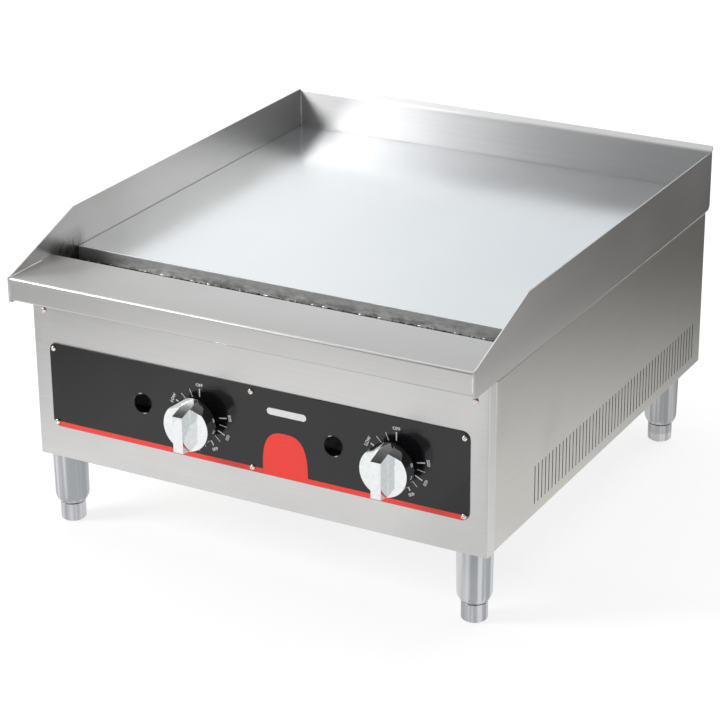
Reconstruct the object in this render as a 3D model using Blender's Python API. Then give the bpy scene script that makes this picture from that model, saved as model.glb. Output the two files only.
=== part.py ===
"""Countertop gas griddle, built as separate named sub-parts.

Lengths below are in millimetres and turned into metres when a mesh is made. The origin is on the surface
that the griddle stands on, under the middle of its outer box. +Z is up, -Y is the front, +X is the right.
"""

import math

import bmesh
import bpy
from mathutils import Vector

MM = 0.001
GAP = 0.3  # between pieces that touch

# Outer size
HALF_WIDTH = 305.0
KNOB_FRONT = -352.75
REAR = 352.75
HEIGHT = 387.0

# Sheet thicknesses
BODY_SHEET = 1.2
GUARD_SHEET = 1.5
BEND = 1.5  # inner radius of a fold

# Heights
BODY_BOTTOM = 92.6
LEDGE_TOP = 335.0
SKIRT_BOTTOM = 306.2
PLATE_TOP = 328.6
PLATE_THICK = 19.0
PLATE_BOTTOM = PLATE_TOP - PLATE_THICK
GUARD_TOP = 381.0
GUARD_BOTTOM = 303.0
BODY_TOP = GUARD_BOTTOM - GAP
GUTTER_FLOOR = PLATE_BOTTOM - GAP

# Depths
PANEL_Y = -301.75
LEDGE_FRONT = PANEL_Y - 42.0
LEDGE_REAR = PANEL_Y + 48.4
PLATE_FRONT = PANEL_Y + 99.0
BODY_REAR = PANEL_Y + 637.0
PLATE_REAR = PANEL_Y + 643.7
GUARD_REAR = PANEL_Y + 648.0
GUARD_KINK = PANEL_Y + 94.0

# Widths, from the middle
BODY_HALF = 303.9
GUARD_INNER = HALF_WIDTH - GUARD_SHEET
INNER_HALF = GUARD_INNER - GAP  # what lies between the guards
BODY_INNER = BODY_HALF - BODY_SHEET - GAP  # what lies between the side panels
FLOOR_HALF = BODY_INNER - 2.2  # what lies beside the side panels' folds
CORNER_RETURN = 16.3  # how far the front panel wraps round each side

# Front controls
CONTROL_Z = 188.0
KNOB_X = {"left": -70.0, "right": 189.5}
PILOT_HOLE_X = {"left": -150.0, "right": 108.0}
PILOT_HOLE_Z = 189.3
PILOT_HOLE_RADIUS = 12.75
STEM_RADIUS = 3.0
BORE_RADIUS = 3.3
OVERLAY_HALF = 281.0
OVERLAY_LOW = 134.0
OVERLAY_HIGH = 243.0
OVERLAY_THICK = 1.0
OVERLAY_FRONT = PANEL_Y - GAP - OVERLAY_THICK
OVERLAY_CORNER = 10.0
OVERLAY_SCREWS = [(x, z) for x in (-275.0, 0.0, 275.0) for z in (139.7, 235.7)]
PANEL_SCREWS = [(-287.0, 282.5), (287.0, 282.5)]
SCREW_HOLE = 2.1
STEM_ENDS = (-33.0, 24.0)  # from the front panel's face

# Knobs, depths from the front panel's face
KNOB_BACK = -14.0
KNOB_FACE = -34.0
KNOB_RADIUS = 30.0
KNOB_BORE_DEPTH = -35.0
GRIP_HALF = 6.6
GRIP_FOOT = (-28.0, 27.6)  # lower and upper end just inside the knob's face
GRIP_FRONT = (-25.5, 20.0)  # lower and upper end at the front

# Gas train
PIPE_RADIUS = 13.35
MANIFOLD_RADIUS = 10.65
MANIFOLD_X = (-240.0, 199.0)
MANIFOLD_Y = PANEL_Y + 45.0
MANIFOLD_Z = 150.0
INLET_X = 236.0
BURNER_Z = 262.0
BURNER_RADIUS = 16.0
BURNER_LEGS = {"left": (-104.0, -200.0), "right": (200.0, 104.0)}  # fed leg, return leg
BURNER_MOUTH = PANEL_Y + 95.0
BURNER_END = PANEL_Y + 560.0
VALVE_HALF = 20.0
VALVE_LOW = 166.0
VALVE_HIGH = 212.0
PILOT_VALVE_HALF = 8.0
PILOT_VALVE_HIGH = 184.0
PILOT_SCREW_Z = 176.0

# Legs
LEG_X = 277.0
LEG_FRONT = PANEL_Y + 23.0
LEG_REAR = PANEL_Y + 577.0
LEG_RADIUS = 21.5
FOOT_RADIUS = 15.6
FOOT_HEIGHT = 24.0
STUD_RADIUS = 7.6

# Grease tray, under the body
TRAY_X = (-252.2, -107.8)
TRAY_Y = (PANEL_Y + 76.0, PANEL_Y + 396.0)
TRAY_Z = (65.5, 90.5)
CHUTE_TOP = (-246.0, PANEL_Y + 74.0)
CHUTE_END = (-205.0, PANEL_Y + 102.0)
CHUTE_HALF = (17.0, 13.0)

SIDES = {"left": -1, "right": 1}


# Materials

def finish(name, colour, roughness, metallic):
    material = bpy.data.materials.new(name)
    material.use_nodes = True
    shader = material.node_tree.nodes["Principled BSDF"]
    shader.inputs["Base Color"].default_value = (*colour, 1.0)
    shader.inputs["Roughness"].default_value = roughness
    shader.inputs["Metallic"].default_value = metallic
    return material


def clear_scene():
    for obj in list(bpy.data.objects):
        bpy.data.objects.remove(obj)


clear_scene()
BRUSHED = finish("brushed_stainless", (0.60, 0.59, 0.56), 0.35, 1.0)
POLISHED = finish("polished_plate", (0.78, 0.81, 0.84), 0.22, 1.0)
CHROME = finish("chrome_knob", (0.82, 0.83, 0.84), 0.12, 1.0)
BLACK = finish("black_overlay", (0.05, 0.05, 0.055), 0.18, 0.0)
ZINC = finish("satin_leg", (0.56, 0.57, 0.59), 0.38, 1.0)
NICKEL = finish("nickel_screw", (0.72, 0.68, 0.62), 0.20, 1.0)
BRASS = finish("brass_fitting", (0.72, 0.55, 0.28), 0.30, 1.0)
ALUMINISED = finish("aluminised_steel", (0.50, 0.50, 0.50), 0.55, 1.0)
PIPE = finish("black_pipe", (0.08, 0.08, 0.08), 0.55, 0.3)
CAST = finish("cast_valve", (0.62, 0.62, 0.63), 0.45, 1.0)
COPPER = finish("copper_tube", (0.72, 0.42, 0.28), 0.30, 1.0)


# Shapes

def add_object(name, mesh_or_curve, material):
    obj = bpy.data.objects.new(name, mesh_or_curve)
    bpy.context.scene.collection.objects.link(obj)
    mesh_or_curve.materials.append(material)
    return obj


def finish_mesh(name, bm, material, origin=(0.0, 0.0, 0.0), smooth=False):
    """Turns a mesh drawn in world millimetres into an object whose own origin is at the given point."""
    bmesh.ops.remove_doubles(bm, verts=bm.verts, dist=1e-4)
    bmesh.ops.translate(bm, verts=bm.verts, vec=-Vector(origin))
    bmesh.ops.scale(bm, verts=bm.verts, vec=(MM, MM, MM))
    bmesh.ops.recalc_face_normals(bm, faces=bm.faces)
    mesh = bpy.data.meshes.new(name)
    bm.to_mesh(mesh)
    bm.free()
    if smooth:
        mesh.shade_smooth()
        mesh.set_sharp_from_angle(angle=math.radians(35))
    obj = add_object(name, mesh, material)
    obj.location = Vector(origin) * MM
    return obj


def place(axis, across, along):
    """A point from its two outline coordinates and its place along the extrusion axis."""
    first, second = across
    return {"X": (along, first, second), "Y": (first, along, second), "Z": (first, second, along)}[axis]


def add_prism(bm, outline, axis, low, high):
    rings = [[bm.verts.new(place(axis, point, along)) for point in outline] for along in (low, high)]
    bm.faces.new(rings[0])
    bm.faces.new(rings[1])
    count = len(outline)
    for i in range(count):
        j = (i + 1) % count
        bm.faces.new((rings[0][i], rings[0][j], rings[1][j], rings[1][i]))


def rectangle(low, high):
    return [low, (high[0], low[1]), high, (low[0], high[1])]


def add_box(bm, low, high):
    add_prism(bm, rectangle(low[:2], high[:2]), "Z", low[2], high[2])


def circle(centre, radius, count):
    turns = [2 * math.pi * i / count for i in range(count)]
    return [(centre[0] + radius * math.cos(t), centre[1] + radius * math.sin(t)) for t in turns]


def rounded_rectangle(low, high, radius, steps):
    corners = [(high[0], high[1], 0), (low[0], high[1], 1), (low[0], low[1], 2), (high[0], low[1], 3)]
    points = []
    for x, y, quarter in corners:
        centre_x = x - math.copysign(radius, x - (low[0] + high[0]) / 2)
        centre_y = y - math.copysign(radius, y - (low[1] + high[1]) / 2)
        for step in range(steps + 1):
            turn = math.pi / 2 * (quarter + step / steps)
            points.append((centre_x + radius * math.cos(turn), centre_y + radius * math.sin(turn)))
    return points


def folded(path, thickness, bend=BEND, steps=3):
    """The outline of a sheet folded along a path. The path is one face; the sheet lies to its left."""
    points = [Vector(point) for point in path]
    ways = [(b - a).normalized() for a, b in zip(points, points[1:])]
    lefts = [Vector((-way.y, way.x)) for way in ways]
    face = [points[0]]
    back = [points[0] + lefts[0] * thickness]
    for i in range(1, len(points) - 1):
        turn = math.atan2(ways[i - 1].cross(ways[i]), ways[i - 1].dot(ways[i]))
        reach = bend + thickness if turn > 0 else -bend
        centre = points[i] + (lefts[i - 1] + lefts[i]) * (reach / (1 + lefts[i - 1].dot(lefts[i])))
        start = math.atan2(lefts[i - 1].y, lefts[i - 1].x)
        for step in range(steps + 1):
            angle = start + turn * step / steps
            left = Vector((math.cos(angle), math.sin(angle)))
            face.append(centre - left * reach)
            back.append(centre - left * (reach - thickness))
    face.append(points[-1])
    back.append(points[-1] + lefts[-1] * thickness)
    return [tuple(point) for point in face + back[::-1]]


def prism(name, outline, axis, low, high, material):
    bm = bmesh.new()
    add_prism(bm, outline, axis, low, high)
    return finish_mesh(name, bm, material)


def block(name, low, high, material):
    bm = bmesh.new()
    add_box(bm, low, high)
    return finish_mesh(name, bm, material)


def turned_mesh(profile, axis, centre, count):
    """A bmesh turned about an axis: the profile is (radius, place along the axis) pairs."""
    bm = bmesh.new()
    lane = {"Y": lambda r, h: (r, h, 0.0), "Z": lambda r, h: (r, 0.0, h)}[axis]
    verts = [bm.verts.new(lane(r, h)) for r, h in profile]
    edges = [bm.edges.new(pair) for pair in zip(verts, verts[1:])]
    if profile[0][0] > 0 and profile[-1][0] > 0:
        edges.append(bm.edges.new((verts[-1], verts[0])))
    turn_axis = {"Y": (0, 1, 0), "Z": (0, 0, 1)}[axis]
    bmesh.ops.spin(bm, geom=verts + edges, cent=(0, 0, 0), axis=turn_axis, angle=2 * math.pi, steps=count)
    bmesh.ops.remove_doubles(bm, verts=bm.verts, dist=1e-3)
    bmesh.ops.translate(bm, verts=bm.verts, vec=Vector(centre))
    return bm


def turned(name, profile, axis, centre, count, material):
    bm = turned_mesh(profile, axis, centre, count)
    return finish_mesh(name, bm, material, origin=centre, smooth=True)


def tube(name, points, radius, material, sides=3, fineness=6):
    """A round tube through smooth points. A point's fourth number widens it there."""
    curve = bpy.data.curves.new(name, "CURVE")
    curve.dimensions = "3D"
    curve.bevel_depth = radius * MM
    curve.bevel_resolution = sides
    curve.use_fill_caps = True
    curve.resolution_u = fineness
    spline = curve.splines.new("BEZIER")
    spline.bezier_points.add(len(points) - 1)
    for place_on, point in zip(spline.bezier_points, points):
        place_on.co = Vector(point[:3]) * MM
        place_on.radius = point[3] if len(point) > 3 else 1.0
        place_on.handle_left_type = "AUTO"
        place_on.handle_right_type = "AUTO"
    return add_object(name, curve, material)


def helper(bm, name):
    """A hidden shape that another object cuts with or is joined to."""
    obj = finish_mesh(name, bm, BRUSHED)
    obj.hide_render = True
    obj.display_type = "WIRE"
    return obj


def boolean(obj, bm, operation="DIFFERENCE"):
    modifier = obj.modifiers.new(operation.title(), "BOOLEAN")
    modifier.operation = operation
    modifier.solver = "EXACT"
    modifier.object = helper(bm, f"{obj.name}_{operation.lower()}")


# Cooking top

def build_plate():
    low = (-INNER_HALF, PLATE_FRONT, PLATE_BOTTOM)
    block("griddle_plate", low, (INNER_HALF, PLATE_REAR, PLATE_TOP), POLISHED)


def build_ledge():
    path = [
        (PLATE_FRONT + 10.0, GUTTER_FLOOR),
        (LEDGE_REAR, GUTTER_FLOOR),
        (LEDGE_REAR, LEDGE_TOP),
        (LEDGE_FRONT, LEDGE_TOP),
        (LEDGE_FRONT, SKIRT_BOTTOM),
        (LEDGE_FRONT + 18.0, SKIRT_BOTTOM),
    ]
    ledge = prism("front_ledge", folded(path, GUARD_SHEET), "X", -INNER_HALF, INNER_HALF, BRUSHED)
    bm = bmesh.new()
    x, y = CHUTE_TOP
    add_box(bm, (x - 13, y - 9, GUTTER_FLOOR - 5), (x + 13, y + 9, GUTTER_FLOOR + 5))
    boolean(ledge, bm)


def build_guards():
    outline = [
        (LEDGE_FRONT, GUARD_BOTTOM + 1.5),
        (LEDGE_FRONT + 1.5, GUARD_BOTTOM),
        (GUARD_REAR - 5.0, GUARD_BOTTOM),
        (GUARD_REAR, GUARD_BOTTOM + 5.0),
        (GUARD_REAR, GUARD_TOP),
        (GUARD_KINK, GUARD_TOP),
        (LEDGE_FRONT, LEDGE_TOP),
    ]
    for side, sign in SIDES.items():
        ends = sorted((sign * GUARD_INNER, sign * HALF_WIDTH))
        prism(f"{side}_splash_guard", outline, "X", *ends, BRUSHED)


def build_back_splash():
    front = PLATE_REAR + GAP
    path = [(REAR - 0.69, HEIGHT), (front, GUARD_TOP + 0.8), (front, GUARD_BOTTOM)]
    splash = prism("back_splash", folded(path, GUARD_SHEET), "X", -HALF_WIDTH, HALF_WIDTH, BRUSHED)
    bm = bmesh.new()
    for sign in (-1, 1):
        across = sorted((sign * INNER_HALF, sign * (HALF_WIDTH + 5)))
        low = (across[0], front - 10, GUARD_BOTTOM - 10)
        add_box(bm, low, (across[1], REAR + 10, GUARD_TOP + GAP))
    boolean(splash, bm)


def build_plate_supports():
    for side, sign in SIDES.items():
        across = sorted((sign * (INNER_HALF - 20), sign * INNER_HALF))
        low = (across[0], PLATE_FRONT + 12, BODY_TOP + GAP)
        block(f"plate_support_{side}", low, (across[1], BODY_REAR, PLATE_BOTTOM - GAP), ALUMINISED)


# Casing

def build_front_panel():
    back = PANEL_Y + CORNER_RETURN
    corners = [(BODY_HALF, back), (BODY_HALF, PANEL_Y), (-BODY_HALF, PANEL_Y), (-BODY_HALF, back)]
    outline = folded(corners[::-1], BODY_SHEET)
    panel = prism("front_panel", outline, "Z", BODY_BOTTOM, BODY_TOP, BRUSHED)
    bm = bmesh.new()
    through = (PANEL_Y - 5, PANEL_Y + 5)
    for side in SIDES:
        add_prism(bm, circle((KNOB_X[side], CONTROL_Z), 6.0, 16), "Y", *through)
        add_prism(bm, circle((PILOT_HOLE_X[side], PILOT_HOLE_Z), PILOT_HOLE_RADIUS, 28), "Y", *through)
    for centre in OVERLAY_SCREWS + PANEL_SCREWS:
        add_prism(bm, circle(centre, SCREW_HOLE, 8), "Y", *through)
    boolean(panel, bm)


def build_overlay():
    outline = rounded_rectangle((-OVERLAY_HALF, OVERLAY_LOW), (OVERLAY_HALF, OVERLAY_HIGH), OVERLAY_CORNER, 5)
    overlay = prism("control_overlay", outline, "Y", OVERLAY_FRONT, PANEL_Y - GAP, BLACK)
    bm = bmesh.new()
    through = (OVERLAY_FRONT - 5, PANEL_Y + 5)
    for side in SIDES:
        add_prism(bm, circle((KNOB_X[side], CONTROL_Z), 6.0, 16), "Y", *through)
        add_prism(bm, circle((PILOT_HOLE_X[side], PILOT_HOLE_Z), PILOT_HOLE_RADIUS, 28), "Y", *through)
    for centre in OVERLAY_SCREWS:
        add_prism(bm, circle(centre, SCREW_HOLE, 8), "Y", *through)
    boolean(overlay, bm)


def build_side_panels():
    flange = BODY_HALF - 18.0
    corners = [(flange, BODY_BOTTOM), (BODY_HALF, BODY_BOTTOM), (BODY_HALF, BODY_TOP), (flange, BODY_TOP)]
    outline = folded(corners, BODY_SHEET)
    slot_count, slot_pitch = 51, 9.74
    for side, sign in SIDES.items():
        mirrored = [(sign * x, z) for x, z in outline]
        ends = (PANEL_Y + CORNER_RETURN + GAP, BODY_REAR)
        panel = prism(f"{side}_side_panel", mirrored, "Y", *ends, BRUSHED)
        bm = bmesh.new()
        across = sorted((sign * (BODY_HALF - 5), sign * (BODY_HALF + 5)))
        for i in range(slot_count):
            y = PANEL_Y + 123.0 + slot_pitch * i
            add_box(bm, (across[0], y - 1, 107.0), (across[1], y + 1, 156.0))
        boolean(panel, bm)


def build_rear_panel():
    low = (-FLOOR_HALF, BODY_BOTTOM + BODY_SHEET + GAP)
    high = (FLOOR_HALF, BODY_TOP - BODY_SHEET - GAP)
    panel = prism("rear_panel", rectangle(low, high), "Y", BODY_REAR - BODY_SHEET, BODY_REAR, BRUSHED)
    bm = bmesh.new()
    through = (BODY_REAR - 10, BODY_REAR + 10)
    add_prism(bm, circle((INLET_X, MANIFOLD_Z), PIPE_RADIUS + 3, 20), "Y", *through)
    flue_slots, flue_width = 8, 46.0
    for i in range(flue_slots):
        x = (i - (flue_slots - 1) / 2) * 62.0
        add_prism(bm, rectangle((x - flue_width / 2, 272.0), (x + flue_width / 2, 284.0)), "Y", *through)
    boolean(panel, bm)


def build_base():
    rail_low = BODY_BOTTOM + BODY_SHEET + GAP
    rail_high = rail_low + 2.2
    spans = {"front": (PANEL_Y + 4.0, PANEL_Y + 47.0), "rear": (LEG_REAR - 25.0, LEG_REAR + 25.0)}
    legs = {"front": LEG_FRONT, "rear": LEG_REAR}
    for end, (near, far) in spans.items():
        low = (-FLOOR_HALF, near, rail_low)
        rail = block(f"base_rail_{end}", low, (FLOOR_HALF, far, rail_high), ALUMINISED)
        bm = bmesh.new()
        for sign in (-1, 1):
            add_prism(bm, circle((sign * LEG_X, legs[end]), 5.4, 12), "Z", rail_low - 5, rail_high + 5)
        boolean(rail, bm)
    shield_low = rail_high + GAP
    low = (-FLOOR_HALF, PANEL_Y + 4.0, shield_low)
    high = (FLOOR_HALF, BODY_REAR - BODY_SHEET - GAP, shield_low + BODY_SHEET)
    shield = block("bottom_shield", low, high, ALUMINISED)
    bm = bmesh.new()
    x, y = CHUTE_END
    add_box(bm, (x - 19, y - 15, shield_low - 5), (x + 19, y + 15, shield_low + 5))
    boolean(shield, bm)
    return shield_low


# Grease path

def build_chute():
    bm = bmesh.new()
    wall = 1.2
    levels = ((CHUTE_TOP, GUTTER_FLOOR - GUARD_SHEET - GAP), (CHUTE_END, TRAY_Z[1] + 1.7))
    rings = []
    for (x, y), z in levels:
        for inset in (0.0, wall):
            half_x, half_y = CHUTE_HALF[0] - inset, CHUTE_HALF[1] - inset
            corners = rectangle((x - half_x, y - half_y), (x + half_x, y + half_y))
            rings.append([bm.verts.new((*corner, z)) for corner in corners])
    top_outer, top_inner, end_outer, end_inner = rings
    for first, second in ((top_outer, end_outer), (end_inner, top_inner), (top_inner, top_outer),
                          (end_outer, end_inner)):
        for i in range(4):
            j = (i + 1) % 4
            bm.faces.new((first[i], first[j], second[j], second[i]))
    finish_mesh("grease_chute", bm, BRUSHED)


def build_tray(shield_low):
    origin = (sum(TRAY_X) / 2, TRAY_Y[0], TRAY_Z[0])
    bm = bmesh.new()
    add_box(bm, (TRAY_X[0], TRAY_Y[0], TRAY_Z[0]), (TRAY_X[1], TRAY_Y[1], TRAY_Z[1]))
    tray = finish_mesh("grease_tray", bm, BRUSHED, origin=origin)
    hollow = bmesh.new()
    low = (TRAY_X[0] + 1.2, TRAY_Y[0] + 1.2, TRAY_Z[0] + 1.2)
    add_box(hollow, low, (TRAY_X[1] - 1.2, TRAY_Y[1] - 1.2, TRAY_Z[1] + 5))
    boolean(tray, hollow)
    pull = bmesh.new()
    middle = origin[0]
    add_box(pull, (middle - 25, TRAY_Y[0] - 12, 80.0), (middle + 25, TRAY_Y[0] + 0.6, 81.5))
    boolean(tray, pull, "UNION")
    foot = TRAY_Z[0] - GAP - 1.2
    for side, x, sign in (("left", TRAY_X[0] - GAP, -1), ("right", TRAY_X[1] + GAP, 1)):
        web = x + sign * 1.2
        toe = x - sign * 12.0
        outline = [(web, foot), (toe, foot), (toe, foot + 1.2), (x, foot + 1.2), (x, shield_low - GAP),
                   (web, shield_low - GAP)]
        prism(f"tray_rail_{side}", outline, "Y", TRAY_Y[0] + 3, TRAY_Y[1] + 30, ALUMINISED)


# Gas train

def build_manifold():
    outline = circle((MANIFOLD_Y, MANIFOLD_Z), MANIFOLD_RADIUS, 20)
    pipe = prism("gas_manifold", outline, "X", *MANIFOLD_X, PIPE)
    pipe.data.shade_smooth()
    pipe.data.set_sharp_from_angle(angle=math.radians(35))


def arc(centre, radius, start, end, steps):
    turns = [math.radians(start + (end - start) * i / steps) for i in range(steps + 1)]
    return [(centre[0] + radius * math.cos(t), centre[1] + radius * math.sin(t)) for t in turns]


def straight_tube(name, points, radius, material, sides=3):
    """A round tube through the given points, joined by straight runs."""
    curve = bpy.data.curves.new(name, "CURVE")
    curve.dimensions = "3D"
    curve.bevel_depth = radius * MM
    curve.bevel_resolution = sides
    curve.use_fill_caps = True
    spline = curve.splines.new("POLY")
    spline.points.add(len(points) - 1)
    for place_on, point in zip(spline.points, points):
        place_on.co = (*(Vector(point) * MM), 1.0)
    return add_object(name, curve, material)


def as_mesh(obj):
    """Turns a curve object into a mesh object, so that a Boolean can cut it."""
    graph = bpy.context.evaluated_depsgraph_get()
    mesh = bpy.data.meshes.new_from_object(obj.evaluated_get(graph))
    name = obj.name
    material = obj.data.materials[0]
    bpy.data.objects.remove(obj)
    bm = bmesh.new()
    bm.from_mesh(mesh)
    bmesh.ops.remove_doubles(bm, verts=bm.verts, dist=1e-6)
    bmesh.ops.recalc_face_normals(bm, faces=bm.faces)
    bm.to_mesh(mesh)
    bm.free()
    mesh.materials.clear()
    mesh.shade_smooth()
    mesh.set_sharp_from_angle(angle=math.radians(35))
    return add_object(name, mesh, material)


def build_inlet_pipe():
    bend = 34.0
    corner = arc((INLET_X - bend, MANIFOLD_Y + bend), bend, -90, 0, 6)
    points = [(MANIFOLD_X[1] + GAP, MANIFOLD_Y, MANIFOLD_Z)]
    points += [(x, y, MANIFOLD_Z) for x, y in corner]
    points.append((INLET_X, REAR - 0.75, MANIFOLD_Z))
    pipe = as_mesh(straight_tube("gas_inlet_pipe", points, PIPE_RADIUS, PIPE, sides=4))
    bm = bmesh.new()
    add_prism(bm, circle((INLET_X, MANIFOLD_Z), 10.4, 20), "Y", REAR - 40, REAR + 10)
    boolean(pipe, bm)


def build_burner(side):
    fed, back = BURNER_LEGS[side]
    bend = abs(fed - back) / 2
    middle = (fed + back) / 2
    start, end = (0, 180) if fed > back else (180, 0)
    points = [(fed, BURNER_MOUTH, BURNER_Z)]
    points += [(x, y, BURNER_Z) for x, y in arc((middle, BURNER_END - bend), bend, start, end, 12)]
    points.append((back, BURNER_MOUTH + 40, BURNER_Z))
    burner = as_mesh(straight_tube(f"burner_{side}", points, BURNER_RADIUS, ALUMINISED))
    bm = bmesh.new()
    add_prism(bm, circle((fed, BURNER_Z), 13.0, 16), "Y", BURNER_MOUTH - 10, BURNER_MOUTH + 60)
    boolean(burner, bm)
    inner, outer = BURNER_RADIUS + 0.5, BURNER_RADIUS + 1.7
    ring = [(inner, 0.0), (inner, 26.0), (outer, 26.0), (outer, 0.0)]
    centre = (fed, BURNER_MOUTH + 4.0, BURNER_Z)
    shutter = turned(f"air_shutter_{side}", ring, "Y", centre, 20, ALUMINISED)
    window = bmesh.new()
    low = (fed - 6, BURNER_MOUTH + 9, BURNER_Z + 8)
    add_box(window, low, (fed + 6, BURNER_MOUTH + 25, BURNER_Z + 25))
    boolean(shutter, window)


def build_burner_carrier():
    top = BURNER_Z - BURNER_RADIUS - GAP
    path = [(228.0, top), (200.0, top), (200.0, top - 22.0)]
    outline = folded(path, BODY_SHEET)
    prism("burner_carrier", outline, "X", -BODY_INNER, BODY_INNER, ALUMINISED)


def build_valve(side):
    x = KNOB_X[side]
    front = PANEL_Y + BODY_SHEET + GAP
    bm = bmesh.new()
    add_box(bm, (x - VALVE_HALF, front + 8, VALVE_LOW), (x + VALVE_HALF, front + 52, VALVE_HIGH))
    valve = finish_mesh(f"thermostat_valve_{side}", bm, CAST)
    neck = bmesh.new()
    add_prism(neck, circle((x, CONTROL_Z), 8.0, 16), "Y", front, front + 12)
    add_prism(neck, circle((x, MANIFOLD_Y), 7.0, 16), "Z", MANIFOLD_Z + MANIFOLD_RADIUS + GAP, VALVE_LOW + 4)
    boolean(valve, neck, "UNION")
    bore = bmesh.new()
    add_prism(bore, circle((x, CONTROL_Z), BORE_RADIUS, 12), "Y", front - 5, front + 26)
    boolean(valve, bore)
    origin = (x, PANEL_Y, CONTROL_Z)
    flat = -STEM_RADIUS * 0.55
    bm = bmesh.new()
    round_part = [point for point in circle((x, CONTROL_Z), STEM_RADIUS, 16) if point[1] > CONTROL_Z + flat]
    add_prism(bm, round_part, "Y", PANEL_Y + STEM_ENDS[0], PANEL_Y + STEM_ENDS[1])
    finish_mesh(f"valve_stem_{side}", bm, CAST, origin=origin)


def build_orifice(side):
    x, fed = KNOB_X[side], BURNER_LEGS[side][0]
    points = [
        (x, MANIFOLD_Y - 8, VALVE_HIGH + GAP, 1.4),
        (x, MANIFOLD_Y - 8, 226.0),
        ((x + fed) / 2, MANIFOLD_Y + 2, 248.0),
        (fed, MANIFOLD_Y + 18, BURNER_Z),
        (fed, BURNER_MOUTH - 16, BURNER_Z, 1.6),
        (fed, BURNER_MOUTH - 5, BURNER_Z, 1.6),
    ]
    tube(f"burner_orifice_{side}", points, 4.2, BRASS)


def build_sensor(side):
    x = KNOB_X[side] + (8 if side == "left" else -10)
    bulb_x = math.copysign(152.0, BURNER_LEGS[side][0])
    over = (x + bulb_x) / 2
    under_plate = PLATE_BOTTOM - GAP - 4.4
    points = [
        (x, PANEL_Y + 53.8, 198.0),
        (x, PANEL_Y + 62, 198.0),
        (x, PANEL_Y + 76, 212.0),
        (x + (over - x) * 0.3, PANEL_Y + 108, 280.0),
        (over, PANEL_Y + 142, 300.0),
        (bulb_x, PANEL_Y + 176, under_plate),
        (bulb_x, PANEL_Y + 186, under_plate, 3.2),
        (bulb_x, PANEL_Y + 276, under_plate, 3.2),
    ]
    tube(f"sensing_bulb_{side}", points, 1.3, COPPER)


def build_pilot(side):
    x = PILOT_HOLE_X[side]
    face, back = MANIFOLD_Y - 12.0, MANIFOLD_Y + 10.0
    low = (x - PILOT_VALVE_HALF, face, MANIFOLD_Z + MANIFOLD_RADIUS + GAP)
    bm = bmesh.new()
    add_box(bm, low, (x + PILOT_VALVE_HALF, back, PILOT_VALVE_HIGH))
    valve = finish_mesh(f"pilot_valve_{side}", bm, BRASS)
    bore = bmesh.new()
    add_prism(bore, circle((x, PILOT_SCREW_Z), BORE_RADIUS, 12), "Y", face - 5, face + 12)
    boolean(valve, bore)
    head = [(0.0, -3.0), (4.6, -3.0), (4.6, -GAP), (3.0, -GAP), (3.0, 9.0), (0.0, 9.0)]
    screw = turned(f"pilot_screw_{side}", head, "Y", (x, face, PILOT_SCREW_Z), 12, NICKEL)
    slot = bmesh.new()
    add_box(slot, (x - 6, face - 6, PILOT_SCREW_Z - 0.6), (x + 6, face - 1.8, PILOT_SCREW_Z + 0.6))
    boolean(screw, slot)
    burner_x = BURNER_LEGS[side][0] - BURNER_RADIUS - 10
    burner_y = BURNER_MOUTH + 32
    hood = [(0.0, 250.0), (4.5, 250.0), (4.5, 262.0), (7.0, 266.0), (7.0, 272.0), (0.0, 272.0)]
    base = (burner_x, burner_y, 0.0)
    turned(f"pilot_burner_{side}", hood, "Z", base, 14, ALUMINISED)
    points = [
        (x, back + GAP, PILOT_SCREW_Z),
        (x, back + 8, PILOT_SCREW_Z),
        (x + (burner_x - x) * 0.3, MANIFOLD_Y + 34, 188.0),
        (burner_x, burner_y - 8, 222.0),
        (burner_x, burner_y, 238.0),
        (burner_x, burner_y, 250.0 - GAP),
    ]
    tube(f"pilot_tube_{side}", points, 2.2, COPPER)


# Knobs, screws and legs

def build_knob(side):
    """A drum with a flat face, and a straight grip bar across it whose ends slope in towards the front."""
    x = KNOB_X[side]
    centre = (x, PANEL_Y, CONTROL_Z)
    drum = [
        (0.0, KNOB_BACK), (KNOB_RADIUS - 2.5, KNOB_BACK), (KNOB_RADIUS - 0.6, KNOB_BACK - 1.2),
        (KNOB_RADIUS, KNOB_BACK - 3.0), (KNOB_RADIUS, KNOB_FACE + 1.0), (KNOB_RADIUS - 0.8, KNOB_FACE),
        (0.0, KNOB_FACE),
    ]
    knob = turned(f"knob_{side}", drum, "Y", centre, 48, CHROME)
    grip = bmesh.new()
    rings = []
    for y, (bottom, top) in ((PANEL_Y + KNOB_FACE + 2, GRIP_FOOT), (KNOB_FRONT, GRIP_FRONT)):
        corners = rectangle((x - GRIP_HALF, CONTROL_Z + bottom), (x + GRIP_HALF, CONTROL_Z + top))
        rings.append([grip.verts.new((px, y, pz)) for px, pz in corners])
    grip.faces.new(rings[0])
    grip.faces.new(rings[1])
    for i in range(4):
        j = (i + 1) % 4
        grip.faces.new((rings[0][i], rings[0][j], rings[1][j], rings[1][i]))
    boolean(knob, grip, "UNION")
    bore = bmesh.new()
    add_prism(bore, circle((x, CONTROL_Z), BORE_RADIUS, 12), "Y", PANEL_Y + KNOB_BORE_DEPTH, PANEL_Y + 5)
    boolean(knob, bore)


def build_screws():
    faces = [(spot, OVERLAY_FRONT) for spot in OVERLAY_SCREWS]
    faces += [(spot, PANEL_Y) for spot in PANEL_SCREWS]
    for number, ((x, z), face) in enumerate(faces, start=1):
        reach = PANEL_Y + BODY_SHEET + 4 - face
        profile = [
            (0.0, -2.4), (1.8, -2.2), (2.9, -1.5), (3.4, -0.6), (3.4, -GAP), (1.7, -GAP), (1.7, reach),
            (0.0, reach),
        ]
        turned(f"panel_screw_{number}", profile, "Y", (x, face, z), 12, NICKEL)


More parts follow.
